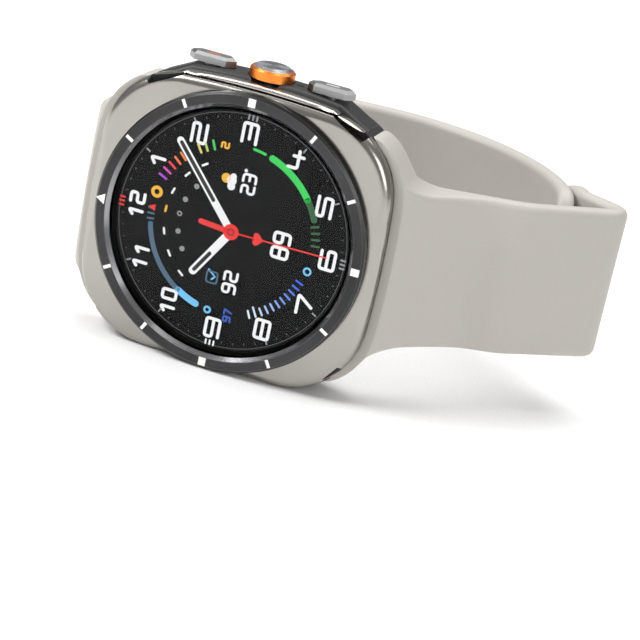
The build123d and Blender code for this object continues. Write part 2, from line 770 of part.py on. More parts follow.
def cut_coupling(side):
    """Clear the case flank, the coupling plate and its release button out of a root."""
    extrude(cushion(10, FRAME_INSET - 0.15), amount=THROUGH_WALL, mode=Mode.SUBTRACT)
    with BuildSketch(Plane.XY.offset(AXIS_HEIGHT - ADAPTER_HALF_Z - 0.01)) as pocket:
        with Locations((side * (ADAPTER_INNER + ADAPTER_OUTER) / 2, ADAPTER_MIDDLE)):
            Rectangle(ADAPTER_OUTER - ADAPTER_INNER + 0.02, ADAPTER_BACK - ADAPTER_FRONT + 0.02)
    extrude(pocket.sketch, amount=2 * ADAPTER_HALF_Z + 0.02, mode=Mode.SUBTRACT)
    with BuildSketch(Plane.XY.offset(AXIS_HEIGHT - LATCH_HALF_Z - 0.2)) as slot:
        with Locations((side * (SLOT_INNER + SLOT_OUTER) / 2, 5)):
            Rectangle(SLOT_OUTER - SLOT_INNER, 6)
    extrude(slot.sketch, amount=2 * LATCH_HALF_Z + 0.4, mode=Mode.SUBTRACT)


def make_strap_6_base():
    """6 o'clock strap from the case to the middle of its tight fold."""
    fold_start = fold_point(NEAR_HEADING, FOLD_RADIUS)
    along = heading(NEAR_HEADING)
    bend = (fold_start[0] - NEAR_RUN * along[0], fold_start[1] - NEAR_RUN * along[1])
    with BuildPart() as strap:
        with BuildLine(Plane.XY.offset(AXIS_HEIGHT)) as path:
            FilletPolyline(ROOT_END[1], bend, fold_start, radius=NEAR_BEND_RADIUS)
            CenterArc(FOLD_CENTRE, FOLD_RADIUS, NEAR_HEADING - 90, HINGE_HEADING - NEAR_HEADING)
        start = Vector(bend) - Vector(ROOT_END[1])
        direction = start.normalized()
        add(sweep_band(path.wire(), ROOT_END[1], (direction.X, direction.Y), STRAP_HALF_WIDTH))
        add(strap_root(1, direction))
        cut_flare(1)
        cut_coupling(1)
    export(strap, "strap_6_base")


def band_side(point, direction, sign):
    """Point on the outer (-1) or inner (1) face of a band beside a point on its middle."""
    half = sign * STRAP_THICKNESS / 2
    return (point[0] - half * direction.Y, point[1] + half * direction.X)


def layer_point(radius, angle):
    return on_circle(BACK_CENTRE, radius, angle)


def radial_holes(radius, angles, hole_radius, depth):
    """Round holes through a band that follows the back arc."""
    for angle in angles:
        outward = heading(angle)
        centre = layer_point(radius, angle)
        hole_plane = Plane(
            origin=(centre[0], centre[1], AXIS_HEIGHT),
            x_dir=(0, 0, 1),
            z_dir=(outward[0], outward[1], 0),
        )
        with BuildSketch(hole_plane) as hole:
            Circle(hole_radius)
        extrude(hole.sketch, amount=depth, both=True, mode=Mode.SUBTRACT)


def make_strap_6_end():
    """Free end of the 6 o'clock strap: from the fold round the outside of the other strap."""
    layer_radius = BACK_RADIUS + STRAP_THICKNESS + LAYER_GAP
    fold_end = fold_point(RETURN_HEADING, FOLD_RADIUS)
    join = layer_point(layer_radius, LAYER_START)
    with BuildPart() as strap:
        with BuildLine(Plane.XY.offset(AXIS_HEIGHT)) as path:
            CenterArc(FOLD_CENTRE, FOLD_RADIUS, HINGE_HEADING - 90, RETURN_HEADING - HINGE_HEADING)
            corner = (fold_end[0] + RETURN_RUN * heading(RETURN_HEADING)[0],
                      fold_end[1] + RETURN_RUN * heading(RETURN_HEADING)[1])
            FilletPolyline(fold_end, corner, join, radius=RETURN_BEND_RADIUS)
            CenterArc(BACK_CENTRE, layer_radius, LAYER_START, LAYER_END - LAYER_START)
        start = fold_point(HINGE_HEADING, FOLD_RADIUS)
        add(sweep_band(path.wire(), start, heading(HINGE_HEADING), STRAP_HALF_WIDTH))
        # the far stretch is narrower, with concave shoulders
        shoulder_start = (SHOULDER_START, TAIL_HALF_WIDTH)
        shoulder_end = (SHOULDER_END, STRAP_HALF_WIDTH)
        clear_of_strap = STRAP_HALF_WIDTH + 1
        with BuildSketch(dial_plane(THROUGH_STRAP)) as waste:
            with BuildLine():
                ThreePointArc(shoulder_start, SHOULDER_MIDDLE, shoulder_end)
                Polyline(
                    shoulder_end,
                    (SHOULDER_END, clear_of_strap),
                    (TAIL_REACH, clear_of_strap),
                    (TAIL_REACH, TAIL_HALF_WIDTH),
                    shoulder_start,
                )
            make_face()
            mirror(about=Plane.XZ)
        extrude(waste.sketch, amount=THROUGH_STRAP, mode=Mode.SUBTRACT)
        hole_angles = range(STUD_ANGLE - HOLE_STEP, LAYER_END - HOLE_STEP // 2, HOLE_STEP)
        radial_holes(layer_radius, hole_angles, HOLE_RADIUS, STRAP_THICKNESS)
    export(strap, "strap_6_end")


def make_strap_12():
    """12 o'clock strap: behind the case, then inside the other strap to its tip."""
    arc_start = layer_point(BACK_RADIUS, ARC_START)
    along = heading(ARC_START - 90)
    knee = (arc_start[0] - KNEE_RUN * along[0], arc_start[1] - KNEE_RUN * along[1])
    with BuildPart() as strap:
        with BuildLine(Plane.XY.offset(AXIS_HEIGHT)) as path:
            FilletPolyline(ROOT_END[-1], STRAP_12_BEND, knee, arc_start, radius=KNEE_RADIUS)
            CenterArc(BACK_CENTRE, BACK_RADIUS, ARC_START, ARC_END - ARC_START)
        direction = (Vector(STRAP_12_BEND) - Vector(ROOT_END[-1])).normalized()
        add(sweep_band(path.wire(), ROOT_END[-1], (direction.X, direction.Y), STRAP_HALF_WIDTH))
        add(strap_root(-1, direction))
        cut_flare(-1)
        cut_coupling(-1)
        add_stud_shape(STUD_CLEARANCE, Mode.SUBTRACT)
    export(strap, "strap_12")


def stud_plane(lift):
    """Plane across the stud, a given distance outside the middle of the strap."""
    outward = heading(STUD_ANGLE)
    centre = layer_point(BACK_RADIUS + lift, STUD_ANGLE)
    return Plane(
        origin=(centre[0], centre[1], AXIS_HEIGHT),
        x_dir=(0, 0, 1),
        z_dir=(outward[0], outward[1], 0),
    )


def add_stud_shape(clearance, mode):
    """Moulded-in disc and the neck that stands out through the outer strap."""
    with BuildSketch(stud_plane(STUD_DISC_BOTTOM - clearance)) as disc_face:
        Circle(STUD_DISC_RADIUS + clearance)
    extrude(disc_face.sketch, amount=STUD_DISC_THICKNESS + 2 * clearance, mode=mode)
    with BuildSketch(stud_plane(STUD_DISC_BOTTOM)) as neck_face:
        Circle(STUD_NECK + clearance)
    extrude(neck_face.sketch, amount=STUD_HEAD_BOTTOM - STUD_DISC_BOTTOM, mode=mode)


def make_closure_stud():
    with BuildPart() as stud:
        add_stud_shape(0, Mode.ADD)
        with BuildSketch(stud_plane(STUD_HEAD_BOTTOM)):
            Circle(STUD_HEAD_RADIUS)
        extrude(amount=STUD_HEAD_HEIGHT)
        head_top = stud.faces().sort_by(lambda f: f.center().dot(Vector(*heading(STUD_ANGLE))))[-1]
        chamfer(head_top.edges(), 0.35)
    export(stud, "closure_stud")


# ---------------------------------------------------------------- strap couplings
def make_couplings():
    for name, side in (("12", -1), ("6", 1)):
        inner = side * ADAPTER_INNER
        outer = side * ADAPTER_OUTER
        with BuildPart() as adapter:
            with BuildSketch(Plane.XY.offset(AXIS_HEIGHT - ADAPTER_HALF_Z)):
                with Locations(((inner + outer) / 2, ADAPTER_MIDDLE)):
                    Rectangle(ADAPTER_OUTER - ADAPTER_INNER, ADAPTER_BACK - ADAPTER_FRONT)
            extrude(amount=2 * ADAPTER_HALF_Z)
            with BuildSketch(Plane.XY.offset(AXIS_HEIGHT - LATCH_HALF_Z - LATCH_PLAY)):
                with Locations((side * LATCH_X, SPRING_BOTTOM + 5)):
                    Rectangle(2 * (LATCH_HALF_X + LATCH_PLAY), 10)
            extrude(amount=2 * (LATCH_HALF_Z + LATCH_PLAY), mode=Mode.SUBTRACT)
        export(adapter, "strap_coupling_" + name)
        with BuildPart() as latch:
            with BuildSketch(Plane.XY.offset(AXIS_HEIGHT - LATCH_HALF_Z)):
                with Locations((side * LATCH_X, (LATCH_BOTTOM + LATCH_TOP) / 2)):
                    Rectangle(2 * LATCH_HALF_X, LATCH_TOP - LATCH_BOTTOM)
            extrude(amount=2 * LATCH_HALF_Z)
            chamfer(latch.faces().sort_by(Axis.Y)[-1].edges(), 0.25)
        export(latch, "release_button_" + name)
        make_latch_spring("release_spring_" + name, side * LATCH_X)


def make_latch_spring(name, x):
    """Small coil spring under a release button."""
    height = LATCH_BOTTOM - SPRING_BOTTOM - 2 * SPRING_WIRE_RADIUS - 0.04
    foot = Plane(
        origin=(x, SPRING_BOTTOM + SPRING_WIRE_RADIUS + 0.02, AXIS_HEIGHT),
        x_dir=(1, 0, 0),
        z_dir=(0, 1, 0),
    )
    coil = foot * Helix(height / SPRING_TURNS, height, SPRING_COIL_RADIUS)
    with BuildPart() as spring:
        with BuildSketch(Plane(coil @ 0, z_dir=coil % 0)):
            Circle(SPRING_WIRE_RADIUS)
        sweep(path=coil)
    export(spring, name)


# ---------------------------------------------------------------- make every piece
make_bezel_ring()
make_bezel_markers()
make_front_plate()
make_mid_frame()
make_guard_rim()
make_case_back()
make_sensor_window()
make_case_screws()
make_display_stack()
make_main_board()
make_board_chips()
make_board_shield()
make_inner_blocks()
make_speaker_mesh()
make_button_switches()
make_sensors_and_coil()
make_pad_button("home_button", -BUTTON_PITCH)
make_pad_button("back_button", BUTTON_PITCH)
make_quick_button()
make_button_seals_and_clips()
make_strap_6_base()
make_strap_6_end()
make_strap_12()
make_closure_stud()
make_couplings()
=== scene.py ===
"""Looks of the smartwatch: strap, dial, materials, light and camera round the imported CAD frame."""
import json
from dataclasses import dataclass
from math import atan2, cos, hypot, pi, radians, sin, sqrt, tan

import bmesh
import bpy
from mathutils import Matrix, Vector


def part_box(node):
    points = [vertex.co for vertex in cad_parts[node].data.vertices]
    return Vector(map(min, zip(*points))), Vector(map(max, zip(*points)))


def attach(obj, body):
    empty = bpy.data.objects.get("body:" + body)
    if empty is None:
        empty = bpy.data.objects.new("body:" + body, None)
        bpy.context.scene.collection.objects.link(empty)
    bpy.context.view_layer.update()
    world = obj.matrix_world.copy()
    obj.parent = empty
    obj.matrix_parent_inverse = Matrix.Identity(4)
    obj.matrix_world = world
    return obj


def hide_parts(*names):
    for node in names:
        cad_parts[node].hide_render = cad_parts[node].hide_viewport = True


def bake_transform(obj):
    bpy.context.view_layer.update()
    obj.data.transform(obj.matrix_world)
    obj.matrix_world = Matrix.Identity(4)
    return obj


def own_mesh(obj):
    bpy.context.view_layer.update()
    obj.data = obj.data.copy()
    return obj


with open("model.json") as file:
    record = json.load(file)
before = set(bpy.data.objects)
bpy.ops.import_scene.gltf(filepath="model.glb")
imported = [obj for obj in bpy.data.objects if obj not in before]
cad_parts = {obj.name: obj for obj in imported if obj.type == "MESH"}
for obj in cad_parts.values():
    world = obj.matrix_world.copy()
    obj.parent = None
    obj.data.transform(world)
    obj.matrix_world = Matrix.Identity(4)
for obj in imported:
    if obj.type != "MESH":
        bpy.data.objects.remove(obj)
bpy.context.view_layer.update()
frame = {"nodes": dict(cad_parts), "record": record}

# ---- places, from the frame. Lengths are in millimetres, and these three in metres.
MM = 0.001
ring_low, ring_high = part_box("bezel_ring")
AXIS_Z = (ring_low[2] + ring_high[2]) / 2
RING_FRONT = ring_low[1]
PANEL_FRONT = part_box("display_panel")[0][1]
CASE = "case_body"


# ---- small helpers
def srgb(red, green, blue):
    """Linear colour from 0 to 255 display values."""
    def linear(value):
        part = value / 255
        return part / 12.92 if part <= 0.04045 else ((part + 0.055) / 1.055) ** 2.4
    return (linear(red), linear(green), linear(blue), 1.0)


def scaled(colour, factor):
    return tuple(min(1.0, part * factor) for part in colour[:3]) + (1.0,)


def link_object(name, data):
    obj = bpy.data.objects.new(name, data)
    bpy.context.scene.collection.objects.link(obj)
    return obj


def mesh_object(name, vertices, faces, material, smooth=True):
    mesh = bpy.data.meshes.new(name)
    mesh.from_pydata(vertices, [], faces)
    mesh.update()
    if smooth:
        mesh.polygons.foreach_set("use_smooth", [True] * len(mesh.polygons))
    mesh.materials.append(material)
    return link_object(name, mesh)


# ---- materials
NOISE_LOW, NOISE_HIGH = 0.3, 0.7          # most noise values lie between these
# width and fade of the painted edge highlight, a lighter colour along sharp edges
EDGE_LIGHT_RADIUS = 0.16
EDGE_LIGHT_STARTS, EDGE_LIGHT_FULL = 0.97, 0.8        # cosines between the rounded and the true normal
GRAIN_MIX, GRAIN_SHADE, GRAIN_BUMP = 0.5, 0.82, 0.6
LEAST_ROUGHNESS, COAT_ROUGHNESS = 0.02, 0.08
CELL_SIZE = 0.08                          # of the display
GLASS_IOR, SMEAR_SIZE, SMEAR_ROUGHNESS = 1.12, 6, 0.012
DULL_MIRROR = 0.1
MATERIALS = {}                            # by name, filled as they are made


def blank_material(name):
    material = bpy.data.materials.new(name)
    material.use_nodes = True
    tree = material.node_tree
    return material, tree, tree.nodes["Principled BSDF"]


def object_coords(tree):
    return tree.nodes.new("ShaderNodeTexCoord").outputs["Object"]


def math_node(tree, operation, *values):
    node = tree.nodes.new("ShaderNodeMath")
    node.operation = operation
    for value, socket in zip(values, node.inputs):
        tree.links.new(value, socket)
    return node.outputs[0]


def polar_coords(tree, axis, centre):
    """Coordinates (radius, angle, height) round an axis, for turned and spun metal."""
    first, second = {"Y": ("X", "Z"), "Z": ("X", "Y")}[axis]
    offset = tree.nodes.new("ShaderNodeVectorMath")
    offset.operation = "SUBTRACT"
    offset.inputs[1].default_value = centre
    tree.links.new(object_coords(tree), offset.inputs[0])
    split = tree.nodes.new("ShaderNodeSeparateXYZ")
    tree.links.new(offset.outputs[0], split.inputs[0])
    plane = [split.outputs[name] for name in (first, second)]
    angle = math_node(tree, "ARCTAN2", plane[1], plane[0])
    squares = [math_node(tree, "MULTIPLY", value, value) for value in plane]
    radius = math_node(tree, "SQRT", math_node(tree, "ADD", *squares))
    joined = tree.nodes.new("ShaderNodeCombineXYZ")
    for value, socket in zip((radius, angle, split.outputs[axis]), joined.inputs):
        tree.links.new(value, socket)
    return joined.outputs[0]


def noise(tree, coords, scale, detail=3.0):
    """Noise value on stretched coordinates; scale is in features per metre along each axis."""
    mapping = tree.nodes.new("ShaderNodeMapping")
    mapping.inputs["Scale"].default_value = scale
    tree.links.new(coords, mapping.inputs["Vector"])
    texture = tree.nodes.new("ShaderNodeTexNoise")
    texture.inputs["Scale"].default_value = 1.0
    texture.inputs["Detail"].default_value = detail
    tree.links.new(mapping.outputs["Vector"], texture.inputs["Vector"])
    return texture.outputs["Fac"]


def spread_range(tree, value, low, high):
    node = tree.nodes.new("ShaderNodeMapRange")
    node.inputs["From Min"].default_value = NOISE_LOW
    node.inputs["From Max"].default_value = NOISE_HIGH
    node.inputs["To Min"].default_value = low
    node.inputs["To Max"].default_value = high
    tree.links.new(value, node.inputs["Value"])
    return node.outputs["Result"]


def blend_colours(tree, value, dark, light):
    ramp = tree.nodes.new("ShaderNodeValToRGB")
    ramp.color_ramp.elements[0].position = NOISE_LOW
    ramp.color_ramp.elements[1].position = NOISE_HIGH
    ramp.color_ramp.elements[0].color = dark
    ramp.color_ramp.elements[1].color = light
    tree.links.new(value, ramp.inputs["Fac"])
    return ramp.outputs["Color"]


def bump(tree, shader, value, strength, distance):
    node = tree.nodes.new("ShaderNodeBump")
    node.inputs["Strength"].default_value = strength
    node.inputs["Distance"].default_value = distance
    tree.links.new(value, node.inputs["Height"])
    tree.links.new(node.outputs["Normal"], shader.inputs["Normal"])


def edge_mask(tree, patches):
    """Where the edge highlight is painted: one along sharp edges, broken up by patches, and zero on
    flat areas.
    """
    rounded = tree.nodes.new("ShaderNodeBevel")
    rounded.samples = 4
    rounded.inputs["Radius"].default_value = EDGE_LIGHT_RADIUS * MM
    flat = tree.nodes.new("ShaderNodeNewGeometry")
    compare = tree.nodes.new("ShaderNodeVectorMath")
    compare.operation = "DOT_PRODUCT"
    tree.links.new(rounded.outputs["Normal"], compare.inputs[0])
    tree.links.new(flat.outputs["Normal"], compare.inputs[1])
    ramp = tree.nodes.new("ShaderNodeMapRange")
    ramp.inputs["From Min"].default_value = EDGE_LIGHT_STARTS
    ramp.inputs["From Max"].default_value = EDGE_LIGHT_FULL
    tree.links.new(compare.outputs["Value"], ramp.inputs["Value"])
    return math_node(tree, "MULTIPLY", ramp.outputs["Result"], patches)


def surface(name, colour, metallic, roughness, grain, grain_depth=0.004, colour_spread=0.06,
            rough_spread=0.06, coords=None, patch=9.0, coat=0.0, edge_highlight=None, spun=0.0):
    """Metal, plastic or rubber with broad tonal patches, a fine grain and uneven gloss. On the
    bezel ring the broad patches are spread wide as painted sheen.

    grain is the size of the fine grain, or its features per metre along three axes, and patch
    the size of the broad patches. The colour given for sharp edges is a painted highlight, a
    lighter colour along them that stands in for the shine they catch, and spun is how far
    turned metal spreads its shine across the turning marks.
    """
    material, tree, shader = blank_material(name)
    shader.inputs["Metallic"].default_value = metallic
    if coat:
        shader.inputs["Coat Weight"].default_value = coat
        shader.inputs["Coat Roughness"].default_value = COAT_ROUGHNESS
    place = coords(tree) if coords else object_coords(tree)
    fine_scale = grain if isinstance(grain, tuple) else (1 / (grain * MM),) * 3
    fine = noise(tree, place, fine_scale)
    broad = noise(tree, object_coords(tree), (1 / (patch * MM),) * 3)
    colour_node = blend_colours(
        tree, broad, scaled(colour, 1 - colour_spread), scaled(colour, 1 + colour_spread))
    mixed = tree.nodes.new("ShaderNodeMix")
    mixed.data_type = "RGBA"
    mixed.blend_type = "MULTIPLY"
    mixed.inputs["Factor"].default_value = GRAIN_MIX
    tree.links.new(colour_node, mixed.inputs["A"])
    shade = blend_colours(tree, fine, (*(GRAIN_SHADE,) * 3, 1), (1, 1, 1, 1))
    tree.links.new(shade, mixed.inputs["B"])
    result = mixed.outputs["Result"]
    # painted highlight: a lighter colour along sharp edges stands in for the shine they catch
    if edge_highlight:
        lit_edges = tree.nodes.new("ShaderNodeMix")
        lit_edges.data_type = "RGBA"
        tree.links.new(edge_mask(tree, broad), lit_edges.inputs["Factor"])
        tree.links.new(result, lit_edges.inputs["A"])
        lit_edges.inputs["B"].default_value = edge_highlight
        result = lit_edges.outputs["Result"]
    if spun:
        shader.inputs["Anisotropic"].default_value = spun
        tangent = tree.nodes.new("ShaderNodeTangent")
        tangent.direction_type = "RADIAL"
        tangent.axis = "Z" if coords is button_polar else "Y"
        tree.links.new(tangent.outputs["Tangent"], shader.inputs["Tangent"])
    tree.links.new(result, shader.inputs["Base Color"])
    tree.links.new(
        spread_range(tree, fine, max(LEAST_ROUGHNESS, roughness - rough_spread),
                     roughness + rough_spread),
        shader.inputs["Roughness"])
    bump(tree, shader, fine, GRAIN_BUMP, grain_depth * MM)
    MATERIALS[name] = material
    return material


def dull(material):
    """Take most of the mirror off a dark surface under the glass."""
    shader = material.node_tree.nodes["Principled BSDF"]
    shader.inputs["Specular IOR Level"].default_value = DULL_MIRROR
    return material


def dial_polar(tree):
    return polar_coords(tree, "Y", (0, 0, AXIS_Z))


def button_polar(tree):
    return polar_coords(tree, "Z", (0, 0, 0))


def glow(name, colour, strength):
    """Lit part of the display, with the faint cell pattern of the panel."""
    material, tree, shader = blank_material(name)
    shader.inputs["Base Color"].default_value = (0.01, 0.01, 0.01, 1)
    shader.inputs["Roughness"].default_value = 0.4
    shader.inputs["Emission Strength"].default_value = strength
    cells = noise(tree, object_coords(tree), (1 / (CELL_SIZE * MM),) * 3, 1.0)
    lit = blend_colours(tree, cells, scaled(colour, 0.9), scaled(colour, 1.0))
    tree.links.new(lit, shader.inputs["Emission Color"])
    return material


def clear_glass(name):
    """Coated crystal: clear, with very little mirror of its own."""
    material, tree, shader = blank_material(name)
    shader.inputs["Base Color"].default_value = (0.98, 0.99, 1.0, 1)
    shader.inputs["Transmission Weight"].default_value = 1.0
    shader.inputs["IOR"].default_value = GLASS_IOR
    smear = noise(tree, object_coords(tree), (1 / (SMEAR_SIZE * MM),) * 3)
    tree.links.new(spread_range(tree, smear, 0.0, SMEAR_ROUGHNESS), shader.inputs["Roughness"])
    MATERIALS[name] = material


# name, colour, metallic, roughness, grain, grain depth, spread of colour, spread of roughness
# the lighter edge colours given to the metals below are painted highlights along sharp edges
surface("satin_metal", srgb(163, 160, 154), 1.0, 0.22, 0.06, 0.0006, 0.04, 0.03,
        edge_highlight=srgb(226, 222, 214))
surface("dark_metal", srgb(50, 50, 51), 0.6, 0.42, 0.1, 0.002, 0.06, 0.07,
        edge_highlight=srgb(120, 120, 122))
# painted sheen: the bezel ring's colour spread of 0.22 over 16 mm patches lays light and dark patches
# on it in place of the uneven shine of turned metal
surface("ring_metal", srgb(66, 66, 67), 1.0, 0.3, (9000, 3, 300), 0.0006, 0.22, 0.05,
        coords=dial_polar, patch=16, edge_highlight=srgb(170, 168, 166), spun=0.8)
surface("bright_metal", srgb(196, 193, 188), 1.0, 0.26, 0.5, 0.0003, 0.02, 0.03)
surface("ring_lip_metal", srgb(150, 150, 152), 1.0, 0.2, (12000, 3, 300), 0.0004, 0.06, 0.04,
        coords=dial_polar)
surface("marker_white", srgb(246, 245, 240), 0.0, 0.35, 0.08, 0.002, 0.02, 0.05)
surface("seal_rubber", srgb(34, 34, 34), 0.0, 0.6, 0.1, 0.003)
dull(surface("display_black", srgb(10, 10, 11), 0.0, 0.35, 0.4, 0.0004, 0.1, 0.03))
surface("support_steel", srgb(150, 150, 152), 1.0, 0.35, 0.1, 0.002)
surface("board_green", srgb(24, 70, 46), 0.0, 0.4, 0.25, 0.01, 0.15, 0.08)
surface("chip_black", srgb(36, 36, 38), 0.0, 0.5, 0.06, 0.003)
surface("battery_wrap", srgb(70, 72, 78), 0.2, 0.45, 0.6, 0.006)
surface("flex_amber", srgb(176, 112, 40), 0.0, 0.4, (2500, 60, 60), 0.004, 0.1, 0.05)
surface("copper", srgb(196, 118, 76), 1.0, 0.3, (3600, 2, 200), 0.03, 0.08, 0.05,
        coords=dial_polar)
surface("ferrite", srgb(56, 52, 50), 0.1, 0.6, 0.15, 0.006)
surface("ceramic_black", srgb(22, 22, 24), 0.0, 0.12, 0.5, 0.0006, 0.1, 0.03, coat=0.6)
surface("sensor_dark", srgb(48, 52, 60), 0.1, 0.25, 0.2, 0.002, 0.15, 0.05)
surface("button_metal", srgb(156, 156, 157), 1.0, 0.36, 0.07, 0.001, 0.04, 0.04,
        edge_highlight=srgb(226, 226, 224))
surface("spun_metal", srgb(160, 161, 165), 1.0, 0.28, (14000, 2, 400), 0.0012, 0.03, 0.05,
        coords=button_polar, edge_highlight=srgb(226, 226, 226), spun=0.85)
surface("orange_metal", srgb(246, 142, 62), 1.0, 0.3, (300, 2, 16000), 0.0016, 0.06, 0.06,
        coords=button_polar, edge_highlight=srgb(252, 190, 130))
surface("orange_enamel", srgb(214, 92, 44), 0.0, 0.4, 0.1, 0.002)
surface("light_enamel", srgb(206, 206, 204), 0.0, 0.4, 0.1, 0.002)
surface("screw_steel", srgb(170, 170, 172), 1.0, 0.28, 0.08, 0.002)
surface("spring_steel", srgb(180, 180, 184), 1.0, 0.25, 0.06, 0.001)
surface("strap_elastomer", srgb(178, 174, 167), 0.0, 0.5, 0.16, 0.003, 0.02, 0.06, patch=14)
clear_glass("sapphire")
STRAP = MATERIALS["strap_elastomer"]


def dress_cad_nodes():
    """Give each CAD node the material that its slot names."""
    for part in frame["record"]["subparts"]:
        node = frame["nodes"][part["node"]]
        node.data.materials.clear()
        node.data.materials.append(MATERIALS[part["material_slot"]])
    frame["nodes"]["quick_button_cap"].data.materials[0] = MATERIALS["spun_metal"]


dress_cad_nodes()


# ---- strap and springs
# places are (x, y) in the frame; headings and angles are in degrees from +x toward +y
THICKNESS = 2.8
HALF_WIDTH = 12.25
TAIL_HALF_WIDTH = 10.2
EDGE_RADIUS = 1.15
STEP = 0.7                      # between stations along a strap
SHARP_ANGLE, SHARP_WIRE, SHARP_LIP = 38, 50, 30
# 6 o'clock strap: near leg, tight fold, return leg, then the outer layer round the back
BEND_TO_FOLD, BEND_ROUNDING = 15, 12
FOLD_CENTRE = (50.2, 23.8)
FOLD_RADIUS = 2.2
NEAR_HEADING = 42
RETURN_HEADING = 153
RETURN_RUN, RETURN_ROUNDING = 6.0, 4
BACK_CENTRE = (12.0, 14.7)
LAYER_RADIUS, LAYER_START, LAYER_END = 36.3, 30, 96
NARROW_X, WIDE_X = 40.5, 45.0   # between these the strap narrows to its tail
TAIL_TIP, TIP_POWER, TIP_ROUNDNESS, TIP_LEAST = 9.0, 2.6, 0.42, 0.32
HOLE_RADIUS = 2.85
HOLE_ANGLES = (50, 60, 70, 80, 90)
HOLE_LIP, LIP_STEPS, CUTTER_SIDES = 0.35, 6, 64
# 12 o'clock strap: down behind the case, a knee, then the inner layer round the back
DROP_CORNER = (-23.4, 30.5)
KNEE_HEADING, KNEE_RUN, KNEE_ROUNDING = 10, 14, 14
BACK_RADIUS, BACK_START, BACK_END = 33.3, 100, 12
INNER_TIP = 7.0
# stud recess, as (radius, height from the strap's middle)
STUD_ANGLE = 60
STUD_ROOM = ((3.25, -0.65), (3.25, 0.25), (1.75, 0.25), (1.75, 3))
# room in the strap roots: reach from the dial axis, range of y, half height
ROOM_FROM = 20.0
COUPLING_ROOM = (25.41, (-1.71, 2.41), 8.81)
LATCH_ROOM = (25.45, (2.0, 8.0), 2.8)
# release springs
SPRING_WIRE, SPRING_TURNS, TURN_STEPS, WIRE_SIDES = 0.09, 5, 24, 10


def add2(point, direction, length):
    return (point[0] + direction[0] * length, point[1] + direction[1] * length)


def span(start, end):
    """Distance between two flat points."""
    return hypot(end[0] - start[0], end[1] - start[1])


def toward(start, end):
    """Unit direction between two flat points, or zero where they are the same."""
    length = span(start, end) or 1
    return ((end[0] - start[0]) / length, (end[1] - start[1]) / length)


def heading(angle):
    return (cos(radians(angle)), sin(radians(angle)))


def circle_point(centre, radius, angle):
    return add2(centre, heading(angle), radius)


def arc_points(centre, radius, start, end):
    """Points along an arc from one angle to another, about STEP apart."""
    count = max(3, int(abs(radians(end - start)) * radius / STEP))
    return [circle_point(centre, radius, start + (end - start) * i / count) for i in range(count + 1)]


def rounded_path(corners, radius):
    """Straight runs through the corners, joined by arcs, as points about STEP apart."""
    points = [corners[0]]
    for before, corner, after in zip(corners, corners[1:], corners[2:]):
        incoming = atan2(corner[1] - before[1], corner[0] - before[0])
        outgoing = atan2(after[1] - corner[1], after[0] - corner[0])
        turn = (outgoing - incoming + pi) % (2 * pi) - pi
        setback = radius * tan(abs(turn) / 2)
        side = 1 if turn > 0 else -1
        start = (corner[0] - cos(incoming) * setback, corner[1] - sin(incoming) * setback)
        centre = (start[0] - sin(incoming) * radius * side, start[1] + cos(incoming) * radius * side)
        first = incoming - side * pi / 2
        count = max(3, int(abs(turn) * radius / STEP))
        fill_line(points, start)
        for i in range(1, count + 1):
            angle = first + turn * i / count
            points.append((centre[0] + radius * cos(angle), centre[1] + radius * sin(angle)))
    fill_line(points, corners[-1])
    return points


def fill_line(points, end):
    start = points[-1]
    count = max(1, int(span(start, end) / STEP))
    for i in range(1, count + 1):
        points.append((start[0] + (end[0] - start[0]) * i / count,
                       start[1] + (end[1] - start[1]) * i / count))


def offset_sides(points):
    """Outer and inner face of a band along its middle line; outer is on the right."""
    outer, inner = [], []
    last = len(points) - 1
    for i, point in enumerate(points):
        along = toward(points[max(0, i - 1)], points[min(last, i + 1)])
        normal = (along[1], -along[0])
        outer.append(add2(point, normal, THICKNESS / 2))
        inner.append(add2(point, normal, -THICKNESS / 2))
    return outer, inner


FLANK_X = 23.58
FLANK_CURVE, FLANK_END = 0.00322, 9.9     # parabola up to this height, then the case's corner
CASE_CORNER, CORNER_Z, CORNER_DEPTH, CORNER_REACH = 12.5, 9.34, 12.81, 12.4


def case_edge(z):
    """How far the case's flank falls back from its middle at height z, round the corner too."""
    height = abs(z)
    if height <= FLANK_END:
        return FLANK_CURVE * z * z
    return CORNER_DEPTH - sqrt(CASE_CORNER ** 2 - min(CORNER_REACH, height - CORNER_Z) ** 2)


ROOT_STATIONS, HOLLOW_STATIONS = 26, 12
CORNER_STEPS, SHORT_STEPS, WIDE_STEPS = 6, 3, 17      # stations round a section
THICK_SHARE, WIDTH_SHARE = 0.42, 0.9                  # an edge radius is at most this much of them
ROOT_FRONT, ROOT_BACK = -2.9, 3.2
ROOT_EDGE, ROOT_EDGE_GROWTH = 0.45, 0.7
ROOT_PULL, ROOT_RISE, HOLLOW_RISE = 3, 0.8, 0.5       # tangent at the root's start, and its inside
# thickness out from the flank and half width, along the horns that hug the case corners
HORN_STATIONS = ((0, 19.55), (0.45, 19.6), (0.85, 19.5), (1.05, 19.2), (1.2, 18.75), (1.28, 18.2),
                 (1.33, 17.6), (1.36, 17.0), (1.4, 16.5))
ROOT_SHAPES = {
    1: {"hollow": (25.6, 5.3), "end": (29.0, 7.2), "merge": 8.0},
    -1: {"hollow": (-24.6, 4.4), "end": (-26.6, 7.0), "merge": 2.5},
}


